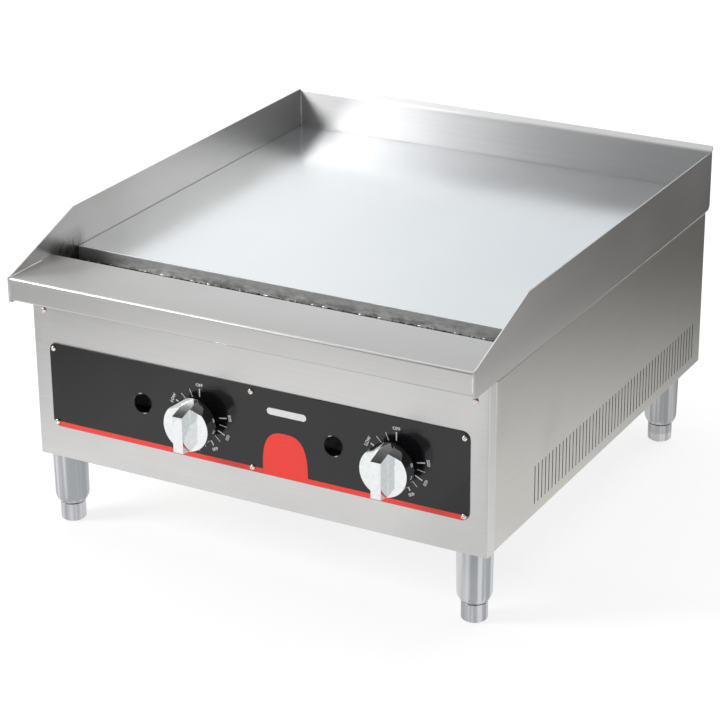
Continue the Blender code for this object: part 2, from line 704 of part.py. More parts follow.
def build_legs():
    shoulder = FOOT_HEIGHT + GAP
    top = BODY_BOTTOM - GAP
    bore = STUD_RADIUS + 0.4
    leg = [
        (0.0, top + 3.6), (5.0, top + 3.6), (5.0, top), (LEG_RADIUS, top), (LEG_RADIUS - 0.8, shoulder + 8.0),
        (LEG_RADIUS - 1.8, shoulder + 3.6), (LEG_RADIUS - 3.8, shoulder + 1.0), (LEG_RADIUS - 5.4, shoulder),
        (bore, shoulder), (bore, 72.0), (0.0, 72.0),
    ]
    foot = [
        (0.0, 68.0), (STUD_RADIUS, 68.0), (STUD_RADIUS, FOOT_HEIGHT), (FOOT_RADIUS, FOOT_HEIGHT),
        (FOOT_RADIUS, 2.4), (FOOT_RADIUS - 0.9, 0.7), (FOOT_RADIUS - 2.6, 0.0), (0.0, 0.0),
    ]
    for end, y in (("front", LEG_FRONT), ("rear", LEG_REAR)):
        for side, sign in SIDES.items():
            centre = (sign * LEG_X, y, 0.0)
            turned(f"leg_{end}_{side}", leg, "Z", centre, 28, ZINC)
            turned(f"foot_{end}_{side}", foot, "Z", centre, 24, ZINC)


def build():
    build_plate()
    build_ledge()
    build_guards()
    build_back_splash()
    build_plate_supports()
    build_front_panel()
    build_overlay()
    build_side_panels()
    build_rear_panel()
    shield_low = build_base()
    build_chute()
    build_tray(shield_low)
    build_manifold()
    build_inlet_pipe()
    build_burner_carrier()
    for side in SIDES:
        build_burner(side)
        build_valve(side)
        build_orifice(side)
        build_sensor(side)
        build_pilot(side)
        build_knob(side)
    build_screws()
    build_legs()


build()
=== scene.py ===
"""The looks of a countertop gas griddle: sheet metal, knobs, printed dials and legs round a fixed frame.

Lengths below are in millimetres and turned into metres when a mesh is made. +Z is up, -Y is the front.
"""

import math
import random

import bmesh
import bpy
from mathutils import Matrix, Vector


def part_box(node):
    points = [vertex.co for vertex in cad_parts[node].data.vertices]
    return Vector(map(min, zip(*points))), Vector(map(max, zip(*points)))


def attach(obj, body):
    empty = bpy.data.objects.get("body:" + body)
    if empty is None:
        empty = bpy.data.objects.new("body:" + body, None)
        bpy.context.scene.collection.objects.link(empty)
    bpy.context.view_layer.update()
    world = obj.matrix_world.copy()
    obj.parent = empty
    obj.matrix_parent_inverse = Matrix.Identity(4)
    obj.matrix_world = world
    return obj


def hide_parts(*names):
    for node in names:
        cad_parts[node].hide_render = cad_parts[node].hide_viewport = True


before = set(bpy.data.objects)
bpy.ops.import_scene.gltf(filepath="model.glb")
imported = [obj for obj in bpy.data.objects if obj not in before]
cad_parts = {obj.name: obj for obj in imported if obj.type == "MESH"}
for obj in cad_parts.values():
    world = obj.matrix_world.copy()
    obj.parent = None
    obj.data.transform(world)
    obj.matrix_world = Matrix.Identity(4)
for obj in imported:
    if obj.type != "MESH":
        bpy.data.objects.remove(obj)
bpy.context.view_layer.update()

MM = 0.001
SIDES = {"left": -1, "right": 1}


def box(node):
    """The lowest and highest corner of a CAD node, in millimetres."""
    low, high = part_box(node)
    return low / MM, high / MM


def middle(node):
    low, high = box(node)
    return (low + high) / 2


# Driving dimensions, read from the frame
SHEET = 1.5
BODY_SHEET = 1.2
INNER_BEND = 1.5
BEND_STEPS = 8
PLATE_LOW, PLATE_HIGH = box("griddle_plate")
LEDGE_LOW, LEDGE_HIGH = box("front_ledge")
GUARD_LOW, GUARD_HIGH = box("right_splash_guard")
SPLASH_LOW, SPLASH_HIGH = box("back_splash")
PANEL_LOW, PANEL_HIGH = box("front_panel")
SIDE_LOW, SIDE_HIGH = box("right_side_panel")
OVERLAY_LOW, OVERLAY_HIGH = box("control_overlay")
PANEL_Y = PANEL_LOW.y
OVERLAY_FACE = OVERLAY_LOW.y
KNOB_CENTRE = {side: middle(f"valve_stem_{side}") for side in SIDES}
CONTROL_Z = middle("knob_left").z
PILOT_HOLE_OFFSET = {"left": -80.0, "right": -81.5}  # from each knob's own middle
PILOT_HOLE_RISE = 1.3
PILOT_HOLE_RADIUS = 12.75
STEM_HOLE_RADIUS = 6.0
SCREW_HOLE_RADIUS = 2.1
SCREW_COUNT = 8
OVERLAY_SCREWS = 6


# Node helpers

def add_node(tree, kind, inputs=None, **settings):
    node = tree.nodes.new(kind)
    for key, value in settings.items():
        setattr(node, key, value)
    for key, value in (inputs or {}).items():
        if isinstance(value, bpy.types.NodeSocket):
            tree.links.new(value, node.inputs[key])
        else:
            node.inputs[key].default_value = value
    return node


def noise(tree, scale, detail=2.0, roughness=0.5, offset=(0.0, 0.0, 0.0)):
    """Noise over the object's own coordinates. The scale is in waves per metre along each axis."""
    coords = add_node(tree, "ShaderNodeTexCoord")
    place = {"Vector": coords.outputs["Object"], "Scale": scale, "Location": offset}
    mapping = add_node(tree, "ShaderNodeMapping", place)
    texture = {"Vector": mapping.outputs["Vector"], "Scale": 1.0, "Detail": detail, "Roughness": roughness}
    return add_node(tree, "ShaderNodeTexNoise", texture).outputs["Fac"]


def remap(tree, value, low, high, to_low=0.0, to_high=1.0, smooth=False):
    kind = "SMOOTHSTEP" if smooth else "LINEAR"
    inputs = {"Value": value, "From Min": low, "From Max": high, "To Min": to_low, "To Max": to_high}
    return add_node(tree, "ShaderNodeMapRange", inputs, interpolation_type=kind).outputs["Result"]


def math_node(tree, operation, first, second=0.0):
    return add_node(tree, "ShaderNodeMath", {0: first, 1: second}, operation=operation).outputs["Value"]


def mixed(tree, factor, first, second, blend="MIX"):
    node = add_node(tree, "ShaderNodeMix", data_type="RGBA", blend_type=blend)
    for index, value in ((0, factor), (6, first), (7, second)):
        if isinstance(value, bpy.types.NodeSocket):
            tree.links.new(value, node.inputs[index])
        elif index:
            node.inputs[index].default_value = (*value, 1.0)
        else:
            node.inputs[index].default_value = value
    return node.outputs[2]


def coordinate(tree, axis):
    """One of the object's own coordinates, in metres."""
    coords = add_node(tree, "ShaderNodeTexCoord")
    split = add_node(tree, "ShaderNodeSeparateXYZ", {"Vector": coords.outputs["Object"]})
    return split.outputs[axis]


def new_material(name, metallic=0.0, **sockets):
    material = bpy.data.materials.new(name)
    material.use_nodes = True
    shader = material.node_tree.nodes["Principled BSDF"]
    shader.inputs["Metallic"].default_value = metallic
    for key, value in sockets.items():
        shader.inputs[key.replace("_", " ")].default_value = value
    return material, material.node_tree, shader


def bump(tree, shader, height, distance, strength=1.0):
    inputs = {"Height": height, "Distance": distance * MM, "Strength": strength}
    tree.links.new(add_node(tree, "ShaderNodeBump", inputs).outputs["Normal"], shader.inputs["Normal"])


# Materials

ALONG_WAVES = 5.0  # noise waves per metre along a brush stroke
ACROSS_STROKES = {"X": (0.0, 1.0, 1.0), "Y": (0.05, 0.05, 1.0)}  # the tangent for strokes along each axis


def grain_scale(axis, waves):
    """Few waves along the strokes, and many across them."""
    return tuple(ALONG_WAVES if name == axis else waves for name in "XYZ")


def brushed_steel(name, axis, colour, roughness, spread=0.015, anisotropy=0.5, stains=0.0, depth=0.0016):
    """Sheet with strokes along one axis: streaks in tone, roughness and height, and soft handling marks."""
    material, tree, shader = new_material(name, metallic=1.0, Anisotropic=anisotropy)
    fine = noise(tree, grain_scale(axis, 1600.0), detail=2.0, roughness=0.5)
    broad = noise(tree, grain_scale(axis, 420.0), detail=1.0, roughness=0.4, offset=(3.1, 1.7, 0.4))
    cloud = noise(tree, (9.0, 9.0, 9.0), detail=2.0, offset=(0.6, 2.2, 5.0))
    darker = tuple(c * 0.975 for c in colour)
    lighter = tuple(min(c * 1.02, 1.0) for c in colour)
    tone = mixed(tree, remap(tree, broad, 0.3, 0.7), darker, lighter)
    tone = mixed(tree, remap(tree, fine, 0.3, 0.7, 0.0, 0.35), tone, tuple(c * 0.92 for c in colour))
    tone = mixed(tree, remap(tree, cloud, 0.55, 0.8, 0.0, 0.25 + stains, smooth=True), tone,
                 (colour[0] * 0.90, colour[1] * 0.87, colour[2] * 0.82))
    tree.links.new(tone, shader.inputs["Base Color"])
    rough = remap(tree, broad, 0.3, 0.7, roughness - spread, roughness + spread)
    smudge = remap(tree, cloud, 0.45, 0.75, 0.0, 0.04, smooth=True)
    tree.links.new(math_node(tree, "ADD", rough, smudge), shader.inputs["Roughness"])
    across = dict(zip("XYZ", ACROSS_STROKES[axis]))
    tangent = add_node(tree, "ShaderNodeCombineXYZ", across)
    tree.links.new(tangent.outputs["Vector"], shader.inputs["Tangent"])
    bump(tree, shader, math_node(tree, "ADD", fine, broad), depth)
    return material, tree, shader, tone


def plate_steel():
    """Ground cooking plate: even and bright, with a sooty front edge above a ragged dark seam."""
    material, tree, shader = new_material("ground_plate", metallic=1.0, Anisotropic=0.25)
    fine = noise(tree, (900.0, 14.0, 900.0), detail=3.0)
    cloud = noise(tree, (7.0, 5.0, 5.0), detail=4.0, roughness=0.55)
    blotch = noise(tree, (60.0, 60.0, 160.0), detail=4.0, roughness=0.65)
    colour = mixed(tree, remap(tree, cloud, 0.35, 0.7), (0.78, 0.80, 0.82), (0.83, 0.85, 0.865))
    colour = mixed(tree, remap(tree, fine, 0.35, 0.65, 0.0, 0.16), colour, (0.70, 0.72, 0.75))
    edge = remap(tree, coordinate(tree, "Y"), (PLATE_LOW.y + 0.2) * MM, (PLATE_LOW.y + 1.2) * MM, 1.0, 0.0)
    depth = remap(tree, coordinate(tree, "Z"), PLATE_LOW.z * MM, (PLATE_HIGH.z - 2.0) * MM, 1.0, 0.15)
    dirty = remap(tree, blotch, 0.40, 0.62)
    across = math_node(tree, "ABSOLUTE", coordinate(tree, "X"))
    ends = remap(tree, across, (PLATE_HIGH.x - 75.0) * MM, (PLATE_HIGH.x - 15.0) * MM, smooth=True)
    dirty = math_node(tree, "MAXIMUM", dirty, ends)
    mill = mixed(tree, math_node(tree, "MULTIPLY", dirty, depth), (0.72, 0.72, 0.72), (0.18, 0.175, 0.17))
    ragged = noise(tree, (260.0, 260.0, 40.0), detail=3.0, roughness=0.7)
    shift = remap(tree, ragged, 0.3, 0.7, -1.3 * MM, 1.3 * MM)
    seam_height = math_node(tree, "ADD", coordinate(tree, "Z"), shift)
    seam = remap(tree, seam_height, (PLATE_LOW.z + 1.7) * MM, (PLATE_LOW.z + 2.5) * MM, 1.0, 0.0)
    mill = mixed(tree, seam, mill, (0.02, 0.02, 0.02))
    tree.links.new(mixed(tree, edge, colour, mill), shader.inputs["Base Color"])
    tree.links.new(remap(tree, edge, 0.0, 1.0, 0.88, 0.55), shader.inputs["Metallic"])
    rough = remap(tree, cloud, 0.3, 0.7, 0.19, 0.24)
    rough = math_node(tree, "ADD", rough, remap(tree, edge, 0.0, 1.0, 0.0, 0.25))
    tree.links.new(rough, shader.inputs["Roughness"])
    tangent = add_node(tree, "ShaderNodeCombineXYZ", {"X": 1.0, "Y": 0.0, "Z": 0.05})
    tree.links.new(tangent.outputs["Vector"], shader.inputs["Tangent"])
    height = math_node(tree, "ADD", fine, math_node(tree, "MULTIPLY", blotch, edge))
    bump(tree, shader, height, 0.012)
    return material


def guard_steel():
    """Guard sheet with brush strokes front to back, and weld soot low down beside the gutter."""
    material, tree, shader, tone = brushed_steel(
        "brushed_guard", "Y", (0.60, 0.595, 0.585), 0.30, anisotropy=0.7, stains=0.1)
    middle_y = remap_band(tree, coordinate(tree, "Y"), PLATE_LOW.y - 46.0, PLATE_LOW.y - 2.0, 22.0)
    low_z = remap(tree, coordinate(tree, "Z"), (LEDGE_HIGH.z - 6.0) * MM, (LEDGE_HIGH.z + 24.0) * MM,
                  1.0, 0.0, smooth=True)
    across = math_node(tree, "ABSOLUTE", coordinate(tree, "X"))
    inner = remap(tree, across, (GUARD_LOW.x + 0.2) * MM, (GUARD_LOW.x + 0.9) * MM, 1.0, 0.0)
    mottle = noise(tree, (150.0, 150.0, 110.0), detail=5.0, roughness=0.75)
    soot = math_node(tree, "MULTIPLY", math_node(tree, "MULTIPLY", middle_y, low_z), inner)
    soot = math_node(tree, "MULTIPLY", soot, remap(tree, mottle, 0.38, 0.56, 0.45, 1.0))
    colour = mixed(tree, soot, tone, (0.13, 0.125, 0.12))
    tree.links.new(colour, shader.inputs["Base Color"])
    return material


def remap_band(tree, value, low, high, fade):
    """One between two places in millimetres, fading to nothing outside them."""
    rise = remap(tree, value, (low - fade) * MM, low * MM, smooth=True)
    fall = remap(tree, value, high * MM, (high + fade) * MM, 1.0, 0.0, smooth=True)
    return math_node(tree, "MULTIPLY", rise, fall)


def ledge_steel():
    """Ledge sheet with strokes along its length, a sooty gutter below it, and painted shade on its turned-in
    hem.
    """
    material, tree, shader, tone = brushed_steel(
        "brushed_ledge", "X", (0.585, 0.58, 0.57), 0.32, anisotropy=0.6, stains=0.05)
    below = remap(tree, coordinate(tree, "Z"), (LEDGE_HIGH.z - 9.0) * MM, (LEDGE_HIGH.z - 3.5) * MM, 1.0, 0.0)
    behind = remap(tree, coordinate(tree, "Y"), (PLATE_LOW.y - 54.0) * MM, (PLATE_LOW.y - 50.0) * MM)
    patches = remap(tree, noise(tree, (35.0, 35.0, 35.0), detail=4.0, roughness=0.7), 0.35, 0.6, 0.35, 1.0)
    soot = math_node(tree, "MULTIPLY", math_node(tree, "MULTIPLY", below, behind), patches)
    colour = mixed(tree, soot, tone, (0.24, 0.235, 0.23))
    # painted shade: the turned-in hem under the ledge is darkened to a dark grey, behind the front bend
    hem = remap(tree, coordinate(tree, "Z"), (LEDGE_LOW.z + 1.4) * MM, (LEDGE_LOW.z + 2.0) * MM, 1.0, 0.0)
    inside = remap(tree, coordinate(tree, "Y"), (LEDGE_LOW.y + 2.6) * MM, (LEDGE_LOW.y + 4.0) * MM)
    colour = mixed(tree, math_node(tree, "MULTIPLY", hem, inside), colour, (0.16, 0.155, 0.15))
    tree.links.new(colour, shader.inputs["Base Color"])
    return material


def black_gloss():
    """Printed polycarbonate overlay: deep charcoal, glossy, with faint orange peel and dust."""
    material, tree, shader = new_material("black_gloss", IOR=1.46, Coat_Weight=0.15, Coat_Roughness=0.04)
    peel = noise(tree, (160.0, 160.0, 160.0), detail=1.0)
    dust = noise(tree, (14.0, 14.0, 14.0), detail=5.0, roughness=0.7)
    colour = mixed(tree, remap(tree, dust, 0.4, 0.75), (0.0055, 0.0055, 0.0065), (0.010, 0.010, 0.0115))
    tree.links.new(colour, shader.inputs["Base Color"])
    tree.links.new(remap(tree, dust, 0.35, 0.7, 0.12, 0.20), shader.inputs["Roughness"])
    bump(tree, shader, peel, 0.012)
    return material


def ink(name, colour, roughness=0.32):
    """Screen-printed ink: even, slightly mottled, with softly uneven gloss."""
    material, tree, shader = new_material(name, IOR=1.48)
    mottle = noise(tree, (500.0, 500.0, 500.0), detail=3.0)
    darker = tuple(c * 0.93 for c in colour)
    tone = mixed(tree, remap(tree, mottle, 0.35, 0.65), darker, colour)
    tree.links.new(tone, shader.inputs["Base Color"])
    rough = remap(tree, mottle, 0.3, 0.7, roughness - 0.05, roughness + 0.07)
    tree.links.new(rough, shader.inputs["Roughness"])
    bump(tree, shader, mottle, 0.004)
    return material


def plated(name, colour, roughness, mottle_waves=240.0, spread=0.05, depth=0.006, worn=0.0):
    """Plated or cast metal: a mottled tone and roughness at one scale, with optional wear."""
    material, tree, shader = new_material(name, metallic=1.0)
    mottle = noise(tree, (mottle_waves,) * 3, detail=4.0, roughness=0.6)
    cloud = noise(tree, (30.0, 30.0, 30.0), detail=3.0, offset=(1.0, 4.0, 2.0))
    tone = mixed(tree, remap(tree, mottle, 0.35, 0.65), tuple(c * 0.92 for c in colour), colour)
    dull = tuple(c * (1.0 - 0.35 * worn) for c in colour)
    tone = mixed(tree, remap(tree, cloud, 0.5, 0.75, 0.0, 0.2 + 0.6 * worn, smooth=True), tone, dull)
    tree.links.new(tone, shader.inputs["Base Color"])
    rough = remap(tree, cloud, 0.3, 0.75, roughness - spread, roughness + spread)
    tree.links.new(rough, shader.inputs["Roughness"])
    bump(tree, shader, mottle, depth)
    return material


def drawn_tube_painted_bands(name, dark, light, roughness):
    """Zinc-plated drawn tube: soft painted reflection bands and fine draw lines along its height."""
    material, tree, shader = new_material(name, metallic=1.0)
    painted_reflection_bands = noise(tree, (150.0, 150.0, 2.0), detail=1.5, roughness=0.45)
    lines = noise(tree, (900.0, 900.0, 6.0), detail=3.0)
    grain = noise(tree, (320.0, 320.0, 320.0), detail=4.0, roughness=0.6)
    # painted reflection: light and dark bands round the tube stand in for reflected studio light
    tone = mixed(tree, remap(tree, painted_reflection_bands, 0.36, 0.64, smooth=True), dark, light)
    tone = mixed(tree, remap(tree, lines, 0.4, 0.7, 0.0, 0.15), tone, dark)
    tree.links.new(tone, shader.inputs["Base Color"])
    rough = remap(tree, grain, 0.3, 0.7, roughness - 0.04, roughness + 0.07)
    tree.links.new(rough, shader.inputs["Roughness"])
    bump(tree, shader, grain, 0.006)
    return material


def painted_pipe():
    """Black iron pipe: a dull lacquer over a pebbled casting skin, rusty in patches."""
    material, tree, shader = new_material("black_iron", metallic=0.35)
    pebble = noise(tree, (700.0, 700.0, 700.0), detail=4.0, roughness=0.65)
    rust = noise(tree, (45.0, 45.0, 45.0), detail=5.0, roughness=0.7)
    rusty = remap(tree, rust, 0.58, 0.72, smooth=True)
    colour = mixed(tree, rusty, (0.045, 0.045, 0.047), (0.16, 0.09, 0.055))
    tree.links.new(colour, shader.inputs["Base Color"])
    tree.links.new(remap(tree, rust, 0.4, 0.7, 0.42, 0.72), shader.inputs["Roughness"])
    bump(tree, shader, pebble, 0.08)
    return material


def aluminised():
    """Aluminised sheet: a dull spangled coat with scuffs."""
    spangles = 130.0  # across a metre
    material, tree, shader = new_material("aluminised_sheet", metallic=1.0)
    coords = add_node(tree, "ShaderNodeTexCoord")
    cell = add_node(tree, "ShaderNodeTexVoronoi", {"Vector": coords.outputs["Object"], "Scale": spangles})
    grey = add_node(tree, "ShaderNodeRGBToBW", {"Color": cell.outputs["Color"]}).outputs["Val"]
    scuff = noise(tree, (60.0, 12.0, 60.0), detail=4.0, roughness=0.65)
    colour = mixed(tree, grey, (0.44, 0.44, 0.45), (0.58, 0.58, 0.58))
    colour = mixed(tree, remap(tree, scuff, 0.5, 0.75), colour, (0.36, 0.355, 0.35))
    tree.links.new(colour, shader.inputs["Base Color"])
    tree.links.new(remap(tree, scuff, 0.3, 0.7, 0.42, 0.62), shader.inputs["Roughness"])
    bump(tree, shader, grey, 0.01)
    return material


PLATE = plate_steel()
LEDGE = ledge_steel()
GUARD = guard_steel()
SPLASH = brushed_steel("brushed_splash", "X", (0.64, 0.64, 0.645), 0.38, anisotropy=0.98)[0]
PANEL = brushed_steel("brushed_front", "X", (0.66, 0.655, 0.645), 0.33, anisotropy=0.6)[0]
SIDE = brushed_steel("brushed_side", "Y", (0.62, 0.61, 0.585), 0.30, anisotropy=0.6)[0]
BLACK = black_gloss()
RED_INK = ink("red_ink", (1.0, 0.042, 0.026))
WHITE_INK = ink("white_ink", (0.86, 0.87, 0.88))
CHROME = plated("knob_chrome", (0.84, 0.86, 0.87), 0.05, spread=0.02, depth=0.0005)
# legs and feet: dark and light tones of the painted reflection bands
LEG = drawn_tube_painted_bands("drawn_zinc_painted_reflections", (0.36, 0.375, 0.395), (0.64, 0.65, 0.665), 0.30)
NICKEL = plated("nickel_screw", (0.86, 0.79, 0.71), 0.14, spread=0.04)
GROUND = plated("ground_weld", (0.93, 0.92, 0.90), 0.30, mottle_waves=500.0, spread=0.06)
BRASS = plated("machined_brass", (0.72, 0.54, 0.27), 0.28, worn=0.4)
CAST = plated("die_cast", (0.58, 0.58, 0.59), 0.46, mottle_waves=420.0, depth=0.03, worn=0.3)
COPPER = plated("drawn_copper", (0.72, 0.40, 0.26), 0.28, worn=0.5)
IRON = painted_pipe()
ALUMINISED = aluminised()


# Mesh helpers

def place(axis, across, along):
    first, second = across
    return {"X": (along, first, second), "Y": (first, along, second), "Z": (first, second, along)}[axis]


def add_loft(bm, rings):
    """A closed solid through rings of points, with a flat face on the first and the last."""
    rings = [[bm.verts.new(point) for point in ring] for ring in rings]
    bm.faces.new(rings[0])
    bm.faces.new(rings[-1])
    count = len(rings[0])
    for first, second in zip(rings, rings[1:]):
        for i in range(count):
            j = (i + 1) % count
            bm.faces.new((first[i], first[j], second[j], second[i]))


def add_prism(bm, outline, axis, low, high):
    add_loft(bm, [[place(axis, point, along) for point in outline] for along in (low, high)])


def rectangle(low, high):
    return [low, (high[0], low[1]), high, (low[0], high[1])]


def add_box(bm, low, high):
    add_prism(bm, rectangle(low[:2], high[:2]), "Z", low[2], high[2])


def circle(centre, radius, count):
    turns = [2 * math.pi * i / count for i in range(count)]
    return [(centre[0] + radius * math.cos(t), centre[1] + radius * math.sin(t)) for t in turns]


def rounded_rectangle(low, high, radius, steps):
    corners = [(high[0], high[1], 0), (low[0], high[1], 1), (low[0], low[1], 2), (high[0], low[1], 3)]
    points = []
    for x, y, quarter in corners:
        centre_x = x - math.copysign(radius, x - (low[0] + high[0]) / 2)
        centre_y = y - math.copysign(radius, y - (low[1] + high[1]) / 2)
        for step in range(steps + 1):
            turn = math.pi / 2 * (quarter + step / steps)
            points.append((centre_x + radius * math.cos(turn), centre_y + radius * math.sin(turn)))
    return points


def folded(path, thickness, bend=INNER_BEND, steps=BEND_STEPS):
    """The outline of a sheet folded along a path. The path is one face; the sheet lies to its left."""
    points = [Vector(point) for point in path]
    ways = [(b - a).normalized() for a, b in zip(points, points[1:])]
    lefts = [Vector((-way.y, way.x)) for way in ways]
    face = [points[0]]
    back = [points[0] + lefts[0] * thickness]
    for i in range(1, len(points) - 1):
        turn = math.atan2(ways[i - 1].cross(ways[i]), ways[i - 1].dot(ways[i]))
        reach = bend + thickness if turn > 0 else -bend
        centre = points[i] + (lefts[i - 1] + lefts[i]) * (reach / (1 + lefts[i - 1].dot(lefts[i])))
        start = math.atan2(lefts[i - 1].y, lefts[i - 1].x)
        for step in range(steps + 1):
            angle = start + turn * step / steps
            left = Vector((math.cos(angle), math.sin(angle)))
            face.append(centre - left * reach)
            back.append(centre - left * (reach - thickness))
    face.append(points[-1])
    back.append(points[-1] + lefts[-1] * thickness)
    return [tuple(point) for point in face + back[::-1]]


def turned_mesh(profile, axis, centre, count):
    """A closed bmesh turned about an axis: the profile is (radius, place along the axis) pairs."""
    bm = bmesh.new()
    lane = {"Y": lambda r, h: (r, h, 0.0), "Z": lambda r, h: (r, 0.0, h)}[axis]
    verts = [bm.verts.new(lane(r, h)) for r, h in profile]
    edges = [bm.edges.new(pair) for pair in zip(verts, verts[1:])]
    if profile[0][0] > 0 and profile[-1][0] > 0:
        edges.append(bm.edges.new((verts[-1], verts[0])))
    turn_axis = {"Y": (0, 1, 0), "Z": (0, 0, 1)}[axis]
    bmesh.ops.spin(bm, geom=verts + edges, cent=(0, 0, 0), axis=turn_axis, angle=2 * math.pi, steps=count)
    bmesh.ops.remove_doubles(bm, verts=bm.verts, dist=1e-3)
    bmesh.ops.translate(bm, verts=bm.verts, vec=Vector(centre))
    return bm


def rounded_profile(profile, radius, steps=4):
    """A profile whose inner corners are arcs. A point's third number is its own radius."""
    points = [Vector(point[:2]) for point in profile]
    radii = [point[2] if len(point) > 2 else radius for point in profile]
    result = [tuple(points[0])]
    for before, corner, after, wanted in zip(points, points[1:], points[2:], radii[1:]):
        arm = min((before - corner).length, (after - corner).length) * 0.45
        reach = min(wanted, arm)
        start = corner + (before - corner).normalized() * reach
        end = corner + (after - corner).normalized() * reach
        if reach < 0.01:
            result.append(tuple(corner))
            continue
        for step in range(steps + 1):
            t = step / steps
            result.append(tuple(start.lerp(corner, t).lerp(corner.lerp(end, t), t)))
    result.append(tuple(points[-1]))
    return result


def to_object(name, bm):
    """An object of a mesh drawn in world millimetres."""
    bmesh.ops.remove_doubles(bm, verts=bm.verts, dist=1e-4)
    bmesh.ops.scale(bm, verts=bm.verts, vec=(MM, MM, MM))
    bmesh.ops.recalc_face_normals(bm, faces=bm.faces)
    mesh = bpy.data.meshes.new(name)
    bm.to_mesh(mesh)
    bm.free()
    obj = bpy.data.objects.new(name, mesh)
    bpy.context.scene.collection.objects.link(obj)
    return obj


def apply_modifiers(obj):
    graph = bpy.context.evaluated_depsgraph_get()
    mesh = bpy.data.meshes.new_from_object(obj.evaluated_get(graph))
    obj.modifiers.clear()
    obj.data = mesh


def combine(obj, bm, operation="DIFFERENCE"):
    """Cuts an object with a shape, joins the shape to it, or keeps what both hold."""
    other = to_object(f"{obj.name}_helper", bm)
    modifier = obj.modifiers.new(operation.title(), "BOOLEAN")
    modifier.operation = operation
    modifier.solver = "EXACT"
    modifier.object = other
    apply_modifiers(obj)
    bpy.data.objects.remove(other)


def soften(obj, width, segments=2, angle=30.0):
    modifier = obj.modifiers.new("Soft_edges", "BEVEL")
    modifier.width = width * MM
    modifier.segments = segments
    modifier.limit_method = "ANGLE"
    modifier.angle_limit = math.radians(angle)
    modifier.harden_normals = True
    modifier.use_clamp_overlap = True


def dress(obj, material, nodes=(), body="casing", sharp=40.0):
    """Gives a piece its finish and its body, and hides the CAD nodes that it stands for."""
    obj.data.materials.clear()
    obj.data.materials.append(material)
    obj.data.shade_smooth()
    obj.data.set_sharp_from_angle(angle=math.radians(sharp))
    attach(obj, body)
    if nodes:
        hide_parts(*nodes)


# Cooking top

def build_plate():
    bm = bmesh.new()
    add_box(bm, PLATE_LOW, PLATE_HIGH)
    plate = to_object("cooking_plate", bm)
    soften(plate, 0.9, segments=4)
    dress(plate, PLATE, ["griddle_plate"])


def ledge_path():
    """From the back of the gutter's floor, over the ledge and down to the turned-in hem."""
    gutter_z = PLATE_LOW.z - 0.3
    wall = LEDGE_LOW.y + 90.4
    hem = 18.0
    return [
        (LEDGE_HIGH.y, gutter_z),
        (wall, gutter_z),
        (wall, LEDGE_HIGH.z),
        (LEDGE_LOW.y, LEDGE_HIGH.z),
        (LEDGE_LOW.y, LEDGE_LOW.z),
        (LEDGE_LOW.y + hem, LEDGE_LOW.z),
    ]


def build_ledge():
    bm = bmesh.new()
    add_prism(bm, folded(ledge_path(), SHEET), "X", LEDGE_LOW.x, LEDGE_HIGH.x)
    ledge = to_object("drip_ledge", bm)
    corner = box("grease_chute")[0]
    hole_x, hole_y = corner.x + 17.0, corner.y + 13.0
    half_x, half_y = 13, 9
    low, high = (hole_x - half_x, hole_y - half_y), (hole_x + half_x, hole_y + half_y)
    outline = rounded_rectangle(low, high, 4.0, 6)
    cutter = bmesh.new()
    add_prism(cutter, outline, "Z", middle("grease_chute").z, LEDGE_HIGH.z - 4.0)
    combine(ledge, cutter)
    soften(ledge, 0.25)
    dress(ledge, LEDGE, ["front_ledge"], sharp=30.0)


def bead(bm, start, end, radius, rng, across, pitch=2.4, sides=8):
    """A rippled weld bead from one point to another, seated in a corner."""
    start, end = Vector(start), Vector(end)
    way = end - start
    count = max(2, int(way.length / pitch))
    along = way.normalized()
    first = Vector(across).normalized()
    second = along.cross(first)
    rings = []
    for i in range(count + 1):
        centre = start + way * i / count
        size = radius * (0.75 + 0.5 * rng.random()) * (1.0 if 0 < i < count else 0.35)
        round_it = circle((0.0, 0.0), size, sides)
        rings.append([centre + first * across_it + second * up for across_it, up in round_it])
    add_loft(bm, rings)


def build_gutter_welds():
    """Small stitch welds along the seam between the gutter and the plate."""
    rng = random.Random(7)
    bm = bmesh.new()
    y, z = PLATE_LOW.y, PLATE_LOW.z + 2.6
    x = PLATE_LOW.x + 12.0
    while x < PLATE_HIGH.x - 20.0:
        run = rng.uniform(2.0, 9.0)
        bead(bm, (x, y, z), (x + run, y, z + rng.uniform(-0.5, 0.5)), 0.6, rng, (0, 1, 0), pitch=1.2)
        x += run + rng.uniform(8.0, 48.0)
    welds = to_object("gutter_stitch_welds", bm)
    dress(welds, GROUND, sharp=60.0)


def build_ledge_welds():
    """Thin ground beads where the guards meet the ledge and the back splash."""
    rng = random.Random(11)
    bm = bmesh.new()
    front, rear = LEDGE_LOW.y + 3.0, PLATE_LOW.y - 56.0
    inward = (1, 0, 0)
    for sign in SIDES.values():
        x, z = sign * (LEDGE_HIGH.x + 0.05), LEDGE_HIGH.z + 0.1
        reach = rear if sign > 0 else rear - 18.0
        bead(bm, (x, front, z), (x, reach, z), 0.95, rng, inward, pitch=5.0)
        x, y = sign * (PLATE_HIGH.x - 0.6), SPLASH_LOW.y - 0.3
        low_z, high_z = PLATE_HIGH.z - 1.0, GUARD_HIGH.z - 2.0
        bead(bm, (x, y, low_z), (x, y, high_z), 0.9, rng, inward, pitch=7.0, sides=12)
        x, y = sign * (LEDGE_HIGH.x + 0.1), LEDGE_LOW.y + 0.75
        low_z, high_z = LEDGE_LOW.z + 1.0, LEDGE_HIGH.z - 0.9
        bead(bm, (x, y, low_z), (x, y, high_z), 0.85, rng, inward, pitch=6.0, sides=12)
    welds = to_object("ledge_end_welds", bm)
    dress(welds, GROUND, sharp=60.0)


